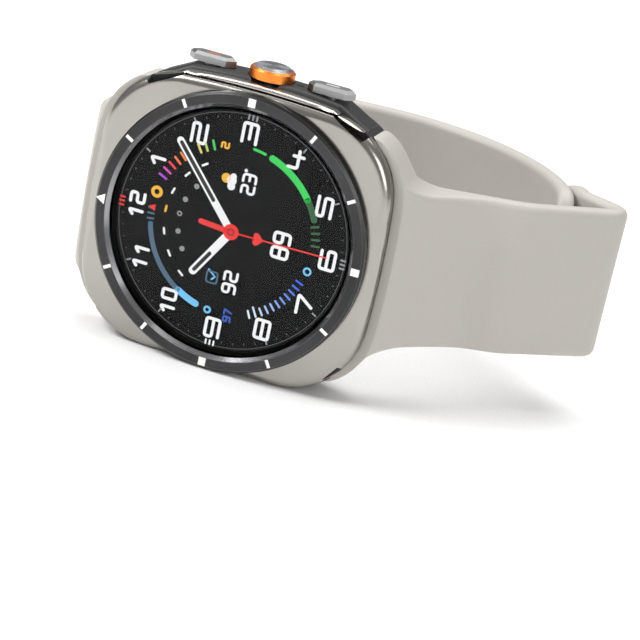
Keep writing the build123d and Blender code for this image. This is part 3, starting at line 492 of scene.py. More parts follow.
def arc_through(start, middle, end, count):
    """Points of the circular arc through three points."""
    (ax, ay), (bx, by), (cx, cy) = start, middle, end
    scale = 2 * (ax * (by - cy) + bx * (cy - ay) + cx * (ay - by))
    a2, b2, c2 = ax * ax + ay * ay, bx * bx + by * by, cx * cx + cy * cy
    centre = ((a2 * (by - cy) + b2 * (cy - ay) + c2 * (ay - by)) / scale,
              (a2 * (cx - bx) + b2 * (ax - cx) + c2 * (bx - ax)) / scale)
    radius = span(centre, start)
    first = atan2(ay - centre[1], ax - centre[0])
    total = (atan2(cy - centre[1], cx - centre[0]) - first + pi) % (2 * pi) - pi
    return [(centre[0] + radius * cos(first + total * i / count),
             centre[1] + radius * sin(first + total * i / count)) for i in range(count + 1)]


# half width of a root against the distance from the dial axis, and the 12 o'clock flare's length
FLARE = arc_through((22.3, 16.5), (24.3, 13.7), (28.0, HALF_WIDTH), 60)
SHORT_FLARE = 5.0
FLARE_ROUNDS = 8                # of fitting the width to the case's edge at that width


def flare_half_width(x):
    """Half width of a root at a distance from the dial axis, outside the horns."""
    x = abs(x)
    if x >= FLARE[-1][0]:
        return HALF_WIDTH
    for (x0, z0), (x1, z1) in zip(FLARE, FLARE[1:]):
        if x0 <= x <= x1:
            return z0 + (z1 - z0) * (x - x0) / (x1 - x0)
    return FLARE[0][1]


@dataclass
class Section:
    """One cross-section of a strap, root being how far it follows the case's edge."""
    outer: tuple
    inner: tuple
    half_width: float
    radius: float = EDGE_RADIUS
    root: float = 0.0
    side: int = 1

    def ring(self):
        """Rounded rectangle between the two faces, from the outer face's lower edge round."""
        thick = span(self.outer, self.inner)
        radius = min(self.radius, thick * THICK_SHARE, self.half_width * WIDTH_SHARE)
        half = self.half_width
        left, right, top, bottom = radius, thick - radius, half - radius, -half + radius
        # each corner's middle and first angle, then the flat that follows it
        sides = ((left, top, 180, (left, half), (right, half), SHORT_STEPS),
                 (right, top, 90, (thick, top), (thick, bottom), WIDE_STEPS),
                 (right, bottom, 0, (right, -half), (left, -half), SHORT_STEPS),
                 (left, bottom, -90, (0, bottom), (0, top), WIDE_STEPS))
        outline = []
        for across, z, start, (a0, z0), (a1, z1), count in sides:
            for i in range(CORNER_STEPS + 1):
                angle = radians(start - 90 * i / CORNER_STEPS)
                outline.append((across + radius * cos(angle), z + radius * sin(angle)))
            outline.extend((a0 + (a1 - a0) * i / (count + 1), z0 + (z1 - z0) * i / (count + 1))
                           for i in range(1, count + 1))
        points = []
        for across, z in outline:
            part = across / thick
            x = self.outer[0] + (self.inner[0] - self.outer[0]) * part
            y = self.outer[1] + (self.inner[1] - self.outer[1]) * part
            x -= self.side * case_edge(z) * self.root
            points.append((x * MM, y * MM, AXIS_Z + z * MM))
        return points


def smooth_curve(start, start_tangent, end, end_tangent, count):
    """Cubic between two points with given end tangents."""
    points = []
    for i in range(count + 1):
        t = i / count
        a, b = 2 * t ** 3 - 3 * t * t + 1, t ** 3 - 2 * t * t + t
        c, d = -2 * t ** 3 + 3 * t * t, t ** 3 - t * t
        points.append(tuple(a * start[k] + b * start_tangent[k] + c * end[k] + d * end_tangent[k]
                            for k in (0, 1)))
    return points


def root_sections(side, outer, inner):
    """Root of a strap, from the case's flank to where it has eased into the band.

    outer and inner are the band's face points from the root's end on. Returns the root's sections
    and how many of the band's stations they take up.
    """
    shape = ROOT_SHAPES[side]
    travelled, taken = 0.0, 0
    while travelled < shape["merge"]:
        travelled += span(outer[taken], outer[taken + 1])
        taken += 1
    along = toward(outer[taken], outer[taken + 1])
    sections = []
    for offset, half_width in HORN_STATIONS:
        x = side * (FLANK_X + offset)
        sections.append(
            Section((x, ROOT_FRONT), (x, ROOT_BACK), half_width, ROOT_EDGE, 1.0, side))
    start = (side * (FLANK_X + HORN_STATIONS[-1][0]), ROOT_FRONT)
    reach = span(start, outer[taken])
    outer_curve = smooth_curve(start, (side * ROOT_PULL, ROOT_RISE), outer[taken],
                               (along[0] * reach, along[1] * reach), ROOT_STATIONS)
    hollow = arc_through((start[0], ROOT_BACK + HOLLOW_RISE), shape["hollow"], inner[0],
                         HOLLOW_STATIONS)
    inner_curve = evenly(hollow[:-1] + list(inner[:taken + 1]), len(outer_curve))
    inner_curve[0] = (start[0], ROOT_BACK)
    for i, (out, inn) in enumerate(zip(outer_curve[1:-1], inner_curve[1:-1])):
        part = (i + 1) / len(outer_curve)
        wrap = (1 - part) ** 3
        x = abs(out[0] * 0.5 + inn[0] * 0.5)
        half_width = FLARE[0][1]
        for _ in range(FLARE_ROUNDS):
            half_width = flare_half_width(stretch_flare(x - case_edge(half_width) * wrap, side))
        radius = ROOT_EDGE + ROOT_EDGE_GROWTH * min(1, part * 2)
        sections.append(Section(out, inn, half_width, radius, wrap, side))
    return sections, taken


def stretch_flare(x, side):
    """The 12 o'clock root reaches its band's width sooner, where the band turns down."""
    if side > 0:
        return x
    return FLARE[0][0] + (x - FLARE[0][0]) * (FLARE[-1][0] - FLARE[0][0]) / SHORT_FLARE


def evenly(points, count):
    """The same line with a given number of evenly spaced points."""
    lengths = [0.0]
    for a, b in zip(points, points[1:]):
        lengths.append(lengths[-1] + span(a, b))
    result = []
    j = 0
    for i in range(count):
        wanted = lengths[-1] * i / (count - 1)
        while j < len(points) - 2 and lengths[j + 1] < wanted:
            j += 1
        t = min(1, (wanted - lengths[j]) / (lengths[j + 1] - lengths[j] or 1))
        result.append((points[j][0] + (points[j + 1][0] - points[j][0]) * t,
                       points[j][1] + (points[j + 1][1] - points[j][1]) * t))
    return result


def loft(name, rows, material):
    """Closed skin through rows of points, capped at both ends."""
    count, last = len(rows[0]), len(rows) - 1
    faces = [(i * count + j, (i + 1) * count + j, (i + 1) * count + (j + 1) % count,
              i * count + (j + 1) % count) for i in range(last) for j in range(count)]
    faces += [range(count), range(last * count, (last + 1) * count)[::-1]]
    obj = mesh_object(name, [point for row in rows for point in row], faces, material)
    make_solid(obj)
    return obj


def make_solid(obj):
    """Join doubled points and turn all faces outward."""
    mesh = bmesh.new()
    mesh.from_mesh(obj.data)
    bmesh.ops.remove_doubles(mesh, verts=mesh.verts, dist=1e-7)
    bmesh.ops.recalc_face_normals(mesh, faces=mesh.faces)
    if mesh.calc_volume(signed=True) < 0:
        bmesh.ops.reverse_faces(mesh, faces=mesh.faces)
    mesh.to_mesh(obj.data)
    mesh.free()


def apply_modifiers(obj):
    """Replace the mesh by its modified form."""
    graph = bpy.context.evaluated_depsgraph_get()
    result = bpy.data.meshes.new_from_object(obj.evaluated_get(graph))
    obj.modifiers.clear()
    obj.data = result


def cut(obj, cutters):
    """Subtract closed cutter objects from obj and delete them."""
    for cutter in cutters:
        modifier = obj.modifiers.new("cut", "BOOLEAN")
        modifier.operation = "DIFFERENCE"
        modifier.solver = "MANIFOLD"
        modifier.object = cutter
    bpy.context.view_layer.update()
    apply_modifiers(obj)
    for cutter in cutters:
        bpy.data.objects.remove(cutter)


def smooth_by_angle(obj, angle):
    obj.data.polygons.foreach_set("use_smooth", [True] * len(obj.data.polygons))
    obj.data.set_sharp_from_angle(angle=radians(angle))


def box_cutter(low, high):
    """Box between two corners in millimetres, z from the dial axis."""
    vertices = [(x * MM, y * MM, AXIS_Z + z * MM)
                for x in (low[0], high[0]) for y in (low[1], high[1]) for z in (low[2], high[2])]
    faces = [(0, 1, 3, 2), (4, 6, 7, 5), (0, 4, 5, 1), (2, 3, 7, 6), (0, 2, 6, 4), (1, 5, 7, 3)]
    obj = mesh_object("cutter", vertices, faces, STRAP, smooth=False)
    make_solid(obj)
    return obj


def turned_cutter(profile, centre, axis):
    """Solid of revolution: profile points (radius, height) about an axis through centre."""
    axis = Vector(axis).normalized()
    side = axis.orthogonal().normalized()
    other = axis.cross(side)
    angles = [2 * pi * i / CUTTER_SIDES for i in range(CUTTER_SIDES)]
    return loft("cutter", [
        [Vector(centre) + axis * (height * MM) + (side * cos(a) + other * sin(a)) * (radius * MM)
         for a in angles] for radius, height in profile], STRAP)


def hole_cutter(centre, axis):
    """Cutter for a round strap hole whose rims on both faces are rounded off."""
    half, lip, mouth, spare = THICKNESS / 2, HOLE_LIP, HOLE_RADIUS + HOLE_LIP, 0.5
    angles = [radians(90 * i / LIP_STEPS) for i in range(LIP_STEPS + 1)]
    profile = [(mouth, -half - spare)]
    profile.extend((mouth - lip * sin(angle), -half + lip - lip * cos(angle)) for angle in angles)
    profile.extend((mouth - lip * cos(angle), half - lip + lip * sin(angle)) for angle in angles)
    profile.append((mouth, half + spare))
    return turned_cutter(profile, centre, axis)


def strap_root_cutters(side):
    """Room in a strap root for the coupling and its release button."""
    cutters = []
    for reach, (front, back), half_height in (COUPLING_ROOM, LATCH_ROOM):
        low_x, high_x = sorted((side * ROOM_FROM, side * reach))
        cutters.append(box_cutter((low_x, front, -half_height), (high_x, back, half_height)))
    return cutters


def radial_place(radius, angle):
    point = circle_point(BACK_CENTRE, radius, angle)
    return (point[0] * MM, point[1] * MM, AXIS_Z), (*heading(angle), 0)


def tip_sections(stations, half_width, length):
    """Sections at a band's last stations, drawn in to a rounded tip over a given length."""
    to_end = [0.0]
    for (a, _), (b, _) in zip(stations[::-1], stations[-2::-1]):
        to_end.append(to_end[-1] + span(a, b))
    sections = []
    for (out, inn), left in zip(stations, reversed(to_end)):
        part = max(0.0, 1 - left / length)
        share = (1 - part ** TIP_POWER) ** TIP_ROUNDNESS if part < 1 else TIP_LEAST
        sections.append(Section(out, inn, half_width * share))
    return sections


def build_strap_6():
    """6 o'clock strap in one piece: root, near leg, tight fold, return leg and holed end."""
    fold_start = circle_point(FOLD_CENTRE, FOLD_RADIUS, NEAR_HEADING - 90)
    bend = add2(fold_start, heading(NEAR_HEADING), -BEND_TO_FOLD)
    near = rounded_path([ROOT_SHAPES[1]["end"], bend, fold_start], BEND_ROUNDING)
    fold = arc_points(FOLD_CENTRE, FOLD_RADIUS, NEAR_HEADING - 90, RETURN_HEADING - 90)
    fold_end = circle_point(FOLD_CENTRE, FOLD_RADIUS, RETURN_HEADING - 90)
    corner = add2(fold_end, heading(RETURN_HEADING), RETURN_RUN)
    layer = arc_points(BACK_CENTRE, LAYER_RADIUS, LAYER_START, LAYER_END)
    back = rounded_path([fold_end, corner, layer[0]], RETURN_ROUNDING)
    middle = near + fold[1:] + back[1:] + layer[1:]
    outer, inner = offset_sides(middle)
    sections, taken = root_sections(1, outer, inner)
    tail_from = len(near) + len(fold) + 2
    stations = list(zip(outer, inner))
    for out, inn in stations[taken:tail_from]:
        sections.append(Section(out, inn, flare_half_width((out[0] + inn[0]) / 2)))
    for section in tip_sections(stations[tail_from:], TAIL_HALF_WIDTH, TAIL_TIP):
        x = (section.outer[0] + section.inner[0]) / 2
        part = min(1, max(0, (x - NARROW_X) / (WIDE_X - NARROW_X)))
        ease = part * part * (3 - 2 * part)
        section.half_width += (HALF_WIDTH - TAIL_HALF_WIDTH) * ease
        sections.append(section)
    strap = loft("strap_6_visual", [section.ring() for section in sections], STRAP)
    cutters = strap_root_cutters(1)
    for angle in HOLE_ANGLES:
        centre, axis = radial_place(LAYER_RADIUS, angle)
        cutters.append(hole_cutter(centre, axis))
    cut(strap, cutters)
    smooth_by_angle(strap, SHARP_ANGLE)
    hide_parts("strap_6_base", "strap_6_end")
    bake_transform(strap)


def build_strap_12():
    """12 o'clock strap: down behind the case, then up inside the other strap to its tip."""
    arc = arc_points(BACK_CENTRE, BACK_RADIUS, BACK_START, BACK_END)
    knee = add2(arc[0], heading(KNEE_HEADING), -KNEE_RUN)
    first = rounded_path([ROOT_SHAPES[-1]["end"], DROP_CORNER, knee, arc[0]], KNEE_ROUNDING)
    # this band turns the other way, so its outer face is on the left
    inner, outer = offset_sides(first + arc[1:])
    sections, taken = root_sections(-1, outer, inner)
    sections.extend(tip_sections(list(zip(outer, inner))[taken:], HALF_WIDTH, INNER_TIP))
    strap = loft("strap_12_visual", [section.ring() for section in sections], STRAP)
    centre, axis = radial_place(BACK_RADIUS, STUD_ANGLE)
    cut(strap, strap_root_cutters(-1) + [turned_cutter(STUD_ROOM, centre, axis)])
    smooth_by_angle(strap, SHARP_ANGLE)
    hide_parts("strap_12")
    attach(strap, CASE)


def build_release_spring(name):
    """Coil spring under its release button."""
    low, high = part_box("release_spring_" + name)
    middle_x = (low[0] + high[0]) / 2
    wire = SPRING_WIRE * MM
    coil_radius = (high[0] - low[0]) / 2 - wire
    steps = SPRING_TURNS * TURN_STEPS
    rows = []
    for i in range(steps + 1):
        angle = 2 * pi * i / TURN_STEPS
        y = low[1] + wire + (high[1] - low[1] - 2 * wire) * i / steps
        row = []
        for j in range(WIRE_SIDES):
            tilt = 2 * pi * j / WIRE_SIDES
            reach = coil_radius + wire * cos(tilt)
            row.append((middle_x + reach * cos(angle), y + wire * sin(tilt),
                        AXIS_Z + reach * sin(angle)))
        rows.append(row)
    spring = loft("spring_" + name + "_visual", rows, MATERIALS["spring_steel"])
    smooth_by_angle(spring, SHARP_WIRE)
    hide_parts("release_spring_" + name)
    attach(spring, CASE)
    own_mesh(spring)


build_strap_6()
build_strap_12()
build_release_spring("12")
build_release_spring("6")


# ---- ring lip, as (radius, distance in front of the frame's y = 0)
LIP_PROFILE = ((19.93, 7.19), (19.40, 6.51), (19.44, 6.42), (19.99, 7.13))
LIP_SIDES = 128


def build_ring_lip():
    """Polished slope round the inner edge of the bezel ring, down to the glass."""
    n = LIP_SIDES
    vertices = [(r * cos(2 * pi * i / n) * MM, -depth * MM, AXIS_Z + r * sin(2 * pi * i / n) * MM)
                for r, depth in LIP_PROFILE for i in range(n)]
    faces = [(a * n + i, a * n + (i + 1) % n, b * n + (i + 1) % n, b * n + i)
             for a, b in ((0, 1), (1, 2), (2, 3), (3, 0)) for i in range(n)]
    lip = mesh_object("ring_lip", vertices, faces, MATERIALS["ring_lip_metal"])
    make_solid(lip)
    smooth_by_angle(lip, SHARP_LIP)
    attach(lip, CASE)


build_ring_lip()


# ---- dial: thin lit shapes on the display
# Dial places are (right, up) from the dial axis, with 12 o'clock up; directions are in hours.
FIRST_DEPTH, LAYER, SLAB_SHARE = 0.006, 0.028, 0.7
CAP_STEPS, CAP_END, ROUND_STEPS, CIRCLE_SIDES, ARC_STEPS = 5, 84, 5, 28, 12
CORE_SHARE = 0.02               # a filled shape is drawn in to a core this small
ROUND_SHARE = 0.45              # most of a stroke's length that a rounded corner takes
# numerals: radius from the axis, then height, gap, stroke and rounding
NUMERAL_RADIUS, NUMERAL = 15.65, (2.2, 0.75, 0.5, 0.4)
NUMERAL_WIDTH, HALF_NUMERAL_WIDTH, ONE_WIDTH = 2.9, 1.45, 1.9
SMALL_NUMBER = (0.75, 1.1, 0.4, 0.3, 0.2)       # width, height, gap, stroke and rounding
# track: inner and outer radius and width of its ticks, radius and width of its line
MINUTE_TICK, HOUR_TICK, TRACK_LINE = (17.5, 17.8, 0.14), (17.3, 18.1, 0.24), (18.35, 0.1)
QUARTER_RADIUS, QUARTER_SPREAD, QUARTER_HALF, QUARTER_STROKE = 18.05, 0.64, 0.32, 0.28
SUB_DIALS = (((8.2, -0.8), 5.4), ((0.1, -8.2), 6.2), ((-7.6, -0.6), 5.0))
HEART_PLACE, HEART_SIZE, HEART_STEPS = (0.05, -4.35), 0.062, 32
# row of dashes, and of dots inside them
DAY_HOURS, TODAY = (10.26, 10.88, 11.5, 0.12, 0.67, 1.3, 1.88), 3
DAY_RADIUS, DAY_HALF, DAY_STROKE, MOON_RADIUS, MOON_SIZE = 10.9, 0.42, 0.34, 8.6, 0.42
# the scales inside the numerals
RIGHT_SCALE, LEFT_SCALE = 13.5, 13.1
RIGHT_TICKS, LEFT_TICKS = (5.36, 5.5, 5.64, 5.78), (11.78, 11.9, 12.02)
BLUE_START, BLUE_STEP, BLUE_COUNT, LONG_BLUE = 6.7, 0.15, 11, 9
RAINBOW = ((0.8, (170, 60, 220)), (0.97, (214, 60, 180)), (1.14, (238, 52, 74)),
           (1.31, (244, 104, 48)), (1.47, (246, 130, 50)), (1.9, (232, 214, 120)),
           (2.06, (190, 214, 110)), (2.24, (40, 200, 80)))
MINUTE_HAND, HOUR_HAND, SECOND_HAND, SECOND_TAIL = 1.6, 10.08, 5.96, 0.14


def dial_point(right, up, depth):
    """Place on the display; depth counts forward from the panel's face."""
    return (-up * MM, PANEL_FRONT - depth * MM, AXIS_Z + right * MM)


def at_hour(hour, radius):
    angle = radians(30 * hour)
    return (radius * sin(angle), radius * cos(angle))


def turn_about(points, hour, radius):
    """Points drawn at 12 o'clock height zero, placed radially at an hour."""
    angle = radians(30 * hour)
    return [(u * cos(angle) + (v + radius) * sin(angle), -u * sin(angle) + (v + radius) * cos(angle))
            for u, v in points]


def soften(points, radius, closed=False):
    """Round a line's corners."""
    count = len(points)
    result = []
    for i, point in enumerate(points):
        if not closed and i in (0, count - 1):
            result.append(point)
            continue
        before, after = points[i - 1], points[(i + 1) % count]
        reach = min(radius, span(point, before) * ROUND_SHARE, span(point, after) * ROUND_SHARE)
        a = add2(point, toward(point, before), reach)
        b = add2(point, toward(point, after), reach)
        for k in range(ROUND_STEPS + 1):
            t = k / ROUND_STEPS
            result.append(tuple((1 - t) ** 2 * a[j] + 2 * t * (1 - t) * point[j] + t * t * b[j]
                                for j in (0, 1)))
    return result


class Ink:
    """Flat shapes of one colour, gathered into one mesh of thin closed slabs."""

    def __init__(self, name, material, level=0):
        self.name = name
        self.material = material
        self.low = FIRST_DEPTH + level * LAYER
        self.high = self.low + LAYER * SLAB_SHARE
        self.vertices = []
        self.faces = []

    def strip(self, left, right, closed=False):
        """Slab between two lines of points."""
        base = len(self.vertices)
        count = len(left)
        for depth in (self.high, self.low):
            for line in (left, right):
                self.vertices.extend(dial_point(u, v, depth) for u, v in line)
        for i in range(count if closed else count - 1):
            # front left, front right, back left and back right, here and at the next station
            a, b, c, d = (base + k * count + i for k in range(4))
            e, f, g, h = (base + k * count + (i + 1) % count for k in range(4))
            self.faces += [(a, e, f, b), (c, d, h, g), (a, c, g, e), (b, f, h, d)]
        if not closed:
            self.faces.append([base + k * count for k in (0, 1, 3, 2)])
            self.faces.append([base + k * count + count - 1 for k in (0, 2, 3, 1)])

    def line(self, points, width, closed=False, round_ends=True):
        """Stroke of even width along points."""
        half = width / 2
        count = len(points)
        left, right = [], []
        for i, point in enumerate(points):
            before = points[i - 1] if (i or closed) else point
            after = points[(i + 1) % count] if (i < count - 1 or closed) else point
            d = toward((0, 0), add2(toward(before, point), toward(point, after), 1))
            left.append((point[0] - d[1] * half, point[1] + d[0] * half))
            right.append((point[0] + d[1] * half, point[1] - d[0] * half))
        if round_ends and not closed:
            self.cap(points[1], points[0], half, left, right, 0)
            self.cap(points[-2], points[-1], half, left, right, len(left))
        self.strip(left, right, closed)

    def cap(self, before, end, half, left, right, where):
        """Add the stations of a round end."""
        d = toward(before, end)
        side = (-d[1], d[0]) if where else (d[1], -d[0])
        for k in range(1, CAP_STEPS + 1):
            angle = radians(CAP_END * k / CAP_STEPS)
            middle = add2(end, d, half * sin(angle))
            a = add2(middle, side, half * cos(angle))
            b = add2(middle, side, -half * cos(angle))
            if where:
                left.append(a)
                right.append(b)
            else:
                left.insert(0, a)
                right.insert(0, b)

    def arc(self, radius, first_hour, last_hour, width, round_ends=True):
        steps = max(3, int(abs(last_hour - first_hour) * ARC_STEPS))
        points = [at_hour(first_hour + (last_hour - first_hour) * i / steps, radius)
                  for i in range(steps + 1)]
        self.line(points, width, round_ends=round_ends)

    def ray(self, hour, inner, outer, width, round_ends=False):
        self.line([at_hour(hour, inner), at_hour(hour, outer)], width, round_ends=round_ends)

    def dot(self, centre, radius, inner=0.0):
        """Disc or ring."""
        angles = [2 * pi * i / CIRCLE_SIDES for i in range(CIRCLE_SIDES)]
        circle, core = [[(centre[0] + reach * cos(a), centre[1] + reach * sin(a)) for a in angles]
                        for reach in (radius, max(inner, radius * CORE_SHARE))]
        self.strip(circle, core, closed=True)

    def shape(self, outline):
        """Filled outline, as a slab drawn in to its middle."""
        middle = (sum(p[0] for p in outline) / len(outline), sum(p[1] for p in outline) / len(outline))
        core = [(middle[0] + (u - middle[0]) * CORE_SHARE, middle[1] + (v - middle[1]) * CORE_SHARE)
                for u, v in outline]
        self.strip(outline, core, closed=True)

    def finish(self):
        obj = mesh_object(self.name, self.vertices, self.faces, self.material, smooth=False)
        make_solid(obj)
        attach(obj, CASE)


# digits as strokes in a box one wide and one high; the flag marks a closed stroke
DIGITS = {
    "0": [([(0, 0), (0, 1), (1, 1), (1, 0)], True)],
    "1": [([(0.15, 0.72), (0.62, 1), (0.62, 0)], False)],
    "2": [([(0, 1), (1, 1), (1, 0.52), (0, 0.52), (0, 0), (1, 0)], False)],
    "3": [([(0, 1), (1, 1), (1, 0), (0, 0)], False), ([(0.2, 0.5), (0.97, 0.5)], False)],
    "4": [([(0.1, 1), (0.1, 0.36), (1, 0.36)], False), ([(0.72, 0.72), (0.72, 0)], False)],
    "5": [([(1, 1), (0, 1), (0, 0.54), (1, 0.54), (1, 0), (0, 0)], False)],
    "6": [([(0.95, 1), (0, 1), (0, 0), (1, 0), (1, 0.52), (0.05, 0.52)], False)],
    "7": [([(0, 1), (1, 1), (0.45, 0)], False)],
    "8": [([(0, 0), (0, 1), (1, 1), (1, 0)], True), ([(0.04, 0.5), (0.96, 0.5)], False)],
    "9": [([(0.95, 0.48), (0, 0.48), (0, 1), (1, 1), (1, 0), (0.05, 0)], False)],
}


def write_number(ink, text, centre, width, height, gap, stroke, rounding=0.5):
    """Number centred on a place of the dial."""
    total = width * len(text) + gap * (len(text) - 1)
    for i, digit in enumerate(text):
        left = centre[0] - total / 2 + i * (width + gap)
        for points, closed in DIGITS[digit]:
            placed = [(left + u * width, centre[1] + (v - 0.5) * height) for u, v in points]
            ink.line(soften(placed, rounding, closed), stroke, closed)


def lit_ink(name, colour, strength=0.95, level=1):
    return Ink(name, glow(name, srgb(*colour), strength), level)


def black_ink(name, tone, roughness, level):
    return Ink(name, surface(name, srgb(*tone), 0.0, roughness, 0.3, 0.0002), level)


def lone_tick(name, colour, hour, inner, outer, width):
    ink = lit_ink(name, colour)
    ink.ray(hour, inner, outer, width, True)
    ink.finish()


def build_dial():
    white = lit_ink("dial_white", (250, 250, 250))
    slots = black_ink("dial_slots", (10, 10, 10), 0.5, 2)
    grey = lit_ink("dial_grey", (150, 150, 152), 0.9)
    dim = lit_ink("dial_dim", (84, 84, 86), 0.8, 0)
    shade = black_ink("dial_shade", (14, 14, 15), 0.45, 0)
    dull(shade.material)
    red = lit_ink("dial_red", (236, 32, 24), 1.0, 3)
    green = lit_ink("dial_green", (38, 214, 84))
    deep_green = lit_ink("dial_deep_green", (20, 92, 42), 0.9)
    sky = lit_ink("dial_sky", (112, 200, 252))
    steel = lit_ink("dial_steel", (66, 100, 126), 0.9)
    navy = lit_ink("dial_navy", (30, 84, 190))
    yellow = lit_ink("dial_yellow", (250, 186, 34))
    hub = lit_ink("dial_hub", (150, 12, 10), 0.9, 4)

    for hour in range(1, 13):
        width = ONE_WIDTH if hour == 1 else NUMERAL_WIDTH if hour < 10 else HALF_NUMERAL_WIDTH
        write_number(white, str(hour), at_hour(hour, NUMERAL_RADIUS), width, *NUMERAL)

    # minute track
    for minute in range(60):
        if minute % 5:
            dim.ray(minute / 5, *MINUTE_TICK)
        elif minute % 15:
            grey.ray(minute / 5, *HOUR_TICK)
    dim.arc(TRACK_LINE[0], 0, 12, TRACK_LINE[1])
    # the quarters: three red bars at 12 and paler ones at the others
    for hour, ink in ((0, red), (3, grey), (6, grey), (9, white)):
        for offset in (-QUARTER_SPREAD, 0.0, QUARTER_SPREAD):
            bar = [(offset, -QUARTER_HALF), (offset, QUARTER_HALF)]
            ink.line(turn_about(bar, hour, QUARTER_RADIUS), QUARTER_STROKE)

    for centre, radius in SUB_DIALS:
        shade.dot(centre, radius)

    # in the 3 o'clock sub-dial: weather
    yellow.dot((8.0, 2.35), 0.75)
    for dx, dy, radius in ((-0.55, 0, 0.62), (0.35, 0.1, 0.8), (1.0, -0.1, 0.5)):
        white.dot((7.5 + dx, 1.35 + dy), radius)
    write_number(white, "23", (8.0, -1.3), 1.15, 2.0, 0.6, 0.4)
    white.dot((9.95, -0.5), 0.27)
    # 6 o'clock: pulse
    heart = []
    for i in range(HEART_STEPS):
        t = 2 * pi * i / HEART_STEPS
        height = 13 * cos(t) - 5 * cos(2 * t) - 2 * cos(3 * t) - cos(4 * t)
        heart.append((HEART_PLACE[0] + HEART_SIZE * 16 * sin(t) ** 3,
                      HEART_PLACE[1] + HEART_SIZE * height))
    red.shape(heart)
    write_number(white, "89", (0.15, -8.1), 1.55, 2.5, 0.75, 0.5)
    # 9 o'clock: counter
    frame_line = soften([(-8.7, 0.75), (-6.9, 0.75), (-6.9, 2.5), (-8.7, 2.5)], 0.4, True)
    steel.line(frame_line, 0.26, True)
    sky.line([(-8.1, 1.6), (-7.6, 1.15), (-6.7, 2.3)], 0.3)
    write_number(white, "92", (-7.8, -1.35), 1.3, 2.0, 0.65, 0.42)

    # 12 o'clock: a dash per week-day, with dots inside all but the first and last
    for i, hour in enumerate(DAY_HOURS):
        ink = yellow if i == TODAY else white
        ink.line(turn_about([(-DAY_HALF, 0), (DAY_HALF, 0)], hour, DAY_RADIUS), DAY_STROKE)
        if 0 < i < len(DAY_HOURS) - 1:
            grey.dot(at_hour(hour, MOON_RADIUS), MOON_SIZE, 0.2 if i == TODAY else 0.0)

    # coloured scales: radius, first and last hour and width of the arcs
    green.arc(RIGHT_SCALE, 3.6, 4.76, 1.05)
    deep_green.arc(RIGHT_SCALE, 4.78, 5.2, 1.0)
    green.arc(RIGHT_SCALE, 3.16, 3.42, 0.42)
    for hour in RIGHT_TICKS:
        deep_green.ray(hour, 12.9, 14.0, 0.34, True)
    steel.arc(LEFT_SCALE, 11.66, 10.02, 0.8)
    for hour in LEFT_TICKS:
        steel.ray(hour, 12.7, 13.6, 0.3, True)
    sky.arc(LEFT_SCALE, 10.0, 9.5, 1.05)
    sky.dot(at_hour(9.2, LEFT_SCALE), 0.62, 0.3)
    sky.dot(at_hour(6.38, 13.2), 0.68, 0.38)
    for k in range(BLUE_COUNT):
        tone = (30 + 20 * k, 84 + 16 * k, 226 + 2 * k)
        inner = 12.0 if k == LONG_BLUE else 12.4
        lone_tick(f"dial_blue_{k}", tone, BLUE_START + k * BLUE_STEP, inner, 13.5, 0.32)
    write_number(navy, "97", at_hour(8.72, 13.2), *SMALL_NUMBER)
    for hour, tone in RAINBOW:
        lone_tick(f"dial_scale_{round(hour * 100)}", tone, hour, 12.8, 14.1, 0.36)
    write_number(yellow, "2", at_hour(2.5, 13.3), *SMALL_NUMBER)
    yellow.dot(at_hour(0.42, LEFT_SCALE), 0.95, 0.42)
    red.shape(turn_about([(-0.55, -0.5), (0.55, -0.5), (0, 0.6)], 0.05, LEFT_SCALE))

    # hands: colour, hour, distances from the axis along them, and width
    for ink, hour, places, width in (
            (white, MINUTE_HAND, (0.8, 5.4, 15.7), 1.2), (white, HOUR_HAND, (0.8, 9.0), 1.3),
            (slots, MINUTE_HAND, (5.5, 15.4), 0.58), (slots, HOUR_HAND, (5.0, 8.7), 0.6),
            (red, SECOND_HAND, (0, 15.4), 0.22), (red, SECOND_TAIL, (0, 5.0), 0.85)):
        ink.line([at_hour(hour, place) for place in places], width)
    red.dot((0, 0), 1.25)
    hub.dot((0, 0), 0.6, 0.36)

    for ink in (white, slots, grey, dim, shade, red, green, deep_green, sky, steel, navy, yellow, hub):
        ink.finish()


build_dial()


# ---- floor, light and camera, in metres, watts and degrees
WORLD_STRENGTH = 0.36
# name, place, target, size and power
LIGHTS = (("key", (-0.4, -0.25, 0.5), (0, 0, 0.02), 0.3, 4),
          ("fill", (0.6, -0.4, 0.3), (0, 0, 0.02), 0.4, 1.8),
          ("top", (0.05, 0.3, 0.8), (0, 0.15, 0.02), 0.8, 6.5))
AZIMUTH, ELEVATION, ROLL = 14.54, 19.0, 12.01
DISTANCE, SHIFT_RIGHT, SHIFT_DOWN = 0.33036, 0.01407, 0.01276
LENS, SENSOR, CLIP = 123.75, 36, (0.01, 20)


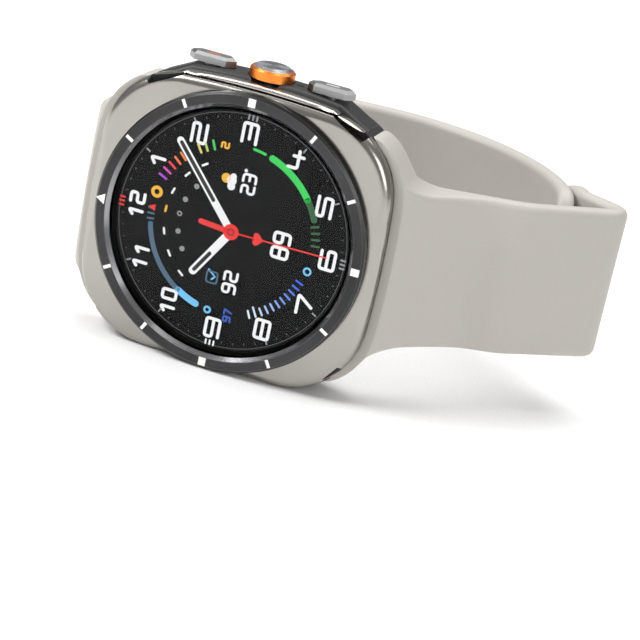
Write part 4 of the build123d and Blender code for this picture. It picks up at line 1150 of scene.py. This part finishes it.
def build_floor():
    """Wide pale floor that curves up into a pale backdrop."""
    half, back, rise, radius, steps = 3.0, 2.4, 2.5, 0.8, 16
    outline = [(-half, 0.0), (back - radius, 0.0)]
    for i in range(1, steps + 1):
        angle = radians(90 * i / steps)
        outline.append((back - radius + radius * sin(angle), radius - radius * cos(angle)))
    outline.append((back, rise))
    vertices = [(x, y, z) for y, z in outline for x in (-half, half)]
    faces = [(2 * i, 2 * i + 1, 2 * i + 3, 2 * i + 2) for i in range(len(outline) - 1)]
    material = surface("floor_paper", (0.93, 0.93, 0.93, 1), 0.0, 0.7, 0.4, 0.002, 0.005, 0.03,
                       patch=80)
    mesh_object("floor", vertices, faces, material)


def build_lights():
    for name, place, target, size, power in LIGHTS:
        data = bpy.data.lights.new(name, "AREA")
        data.size = size
        data.energy = power
        light = link_object(name, data)
        light.location = place
        ahead = Vector(target) - Vector(place)
        light.rotation_euler = ahead.to_track_quat("-Z", "Y").to_euler()


def build_world():
    world = bpy.data.worlds.new("studio")
    bpy.context.scene.world = world
    world.use_nodes = True
    background = world.node_tree.nodes["Background"]
    background.inputs["Color"].default_value = (1, 1, 1, 1)
    background.inputs["Strength"].default_value = WORLD_STRENGTH
    bpy.context.scene.view_settings.view_transform = "Standard"


def build_camera():
    """Camera turned slightly left, above the watch and rolled, looking at the middle of the view."""
    azimuth, elevation, roll = radians(AZIMUTH), radians(ELEVATION), radians(ROLL)
    away = Vector((sin(azimuth) * cos(elevation), -cos(azimuth) * cos(elevation), sin(elevation)))
    ahead = -away
    right = ahead.cross(Vector((0, 0, 1))).normalized()
    up = right.cross(ahead)
    right_r = right * cos(roll) + up * sin(roll)
    up_r = up * cos(roll) - right * sin(roll)
    dial = Vector((0, RING_FRONT, AXIS_Z))
    data = bpy.data.cameras.new("camera")
    data.lens = LENS
    data.sensor_width = SENSOR
    data.clip_start, data.clip_end = CLIP
    camera = link_object("camera", data)
    place = dial + right_r * SHIFT_RIGHT - up_r * SHIFT_DOWN + away * DISTANCE
    camera.matrix_world = Matrix([*zip(right_r, up_r, away, place), (0, 0, 0, 1)])
    bpy.context.scene.camera = camera


build_floor()
build_world()
build_lights()
build_camera()
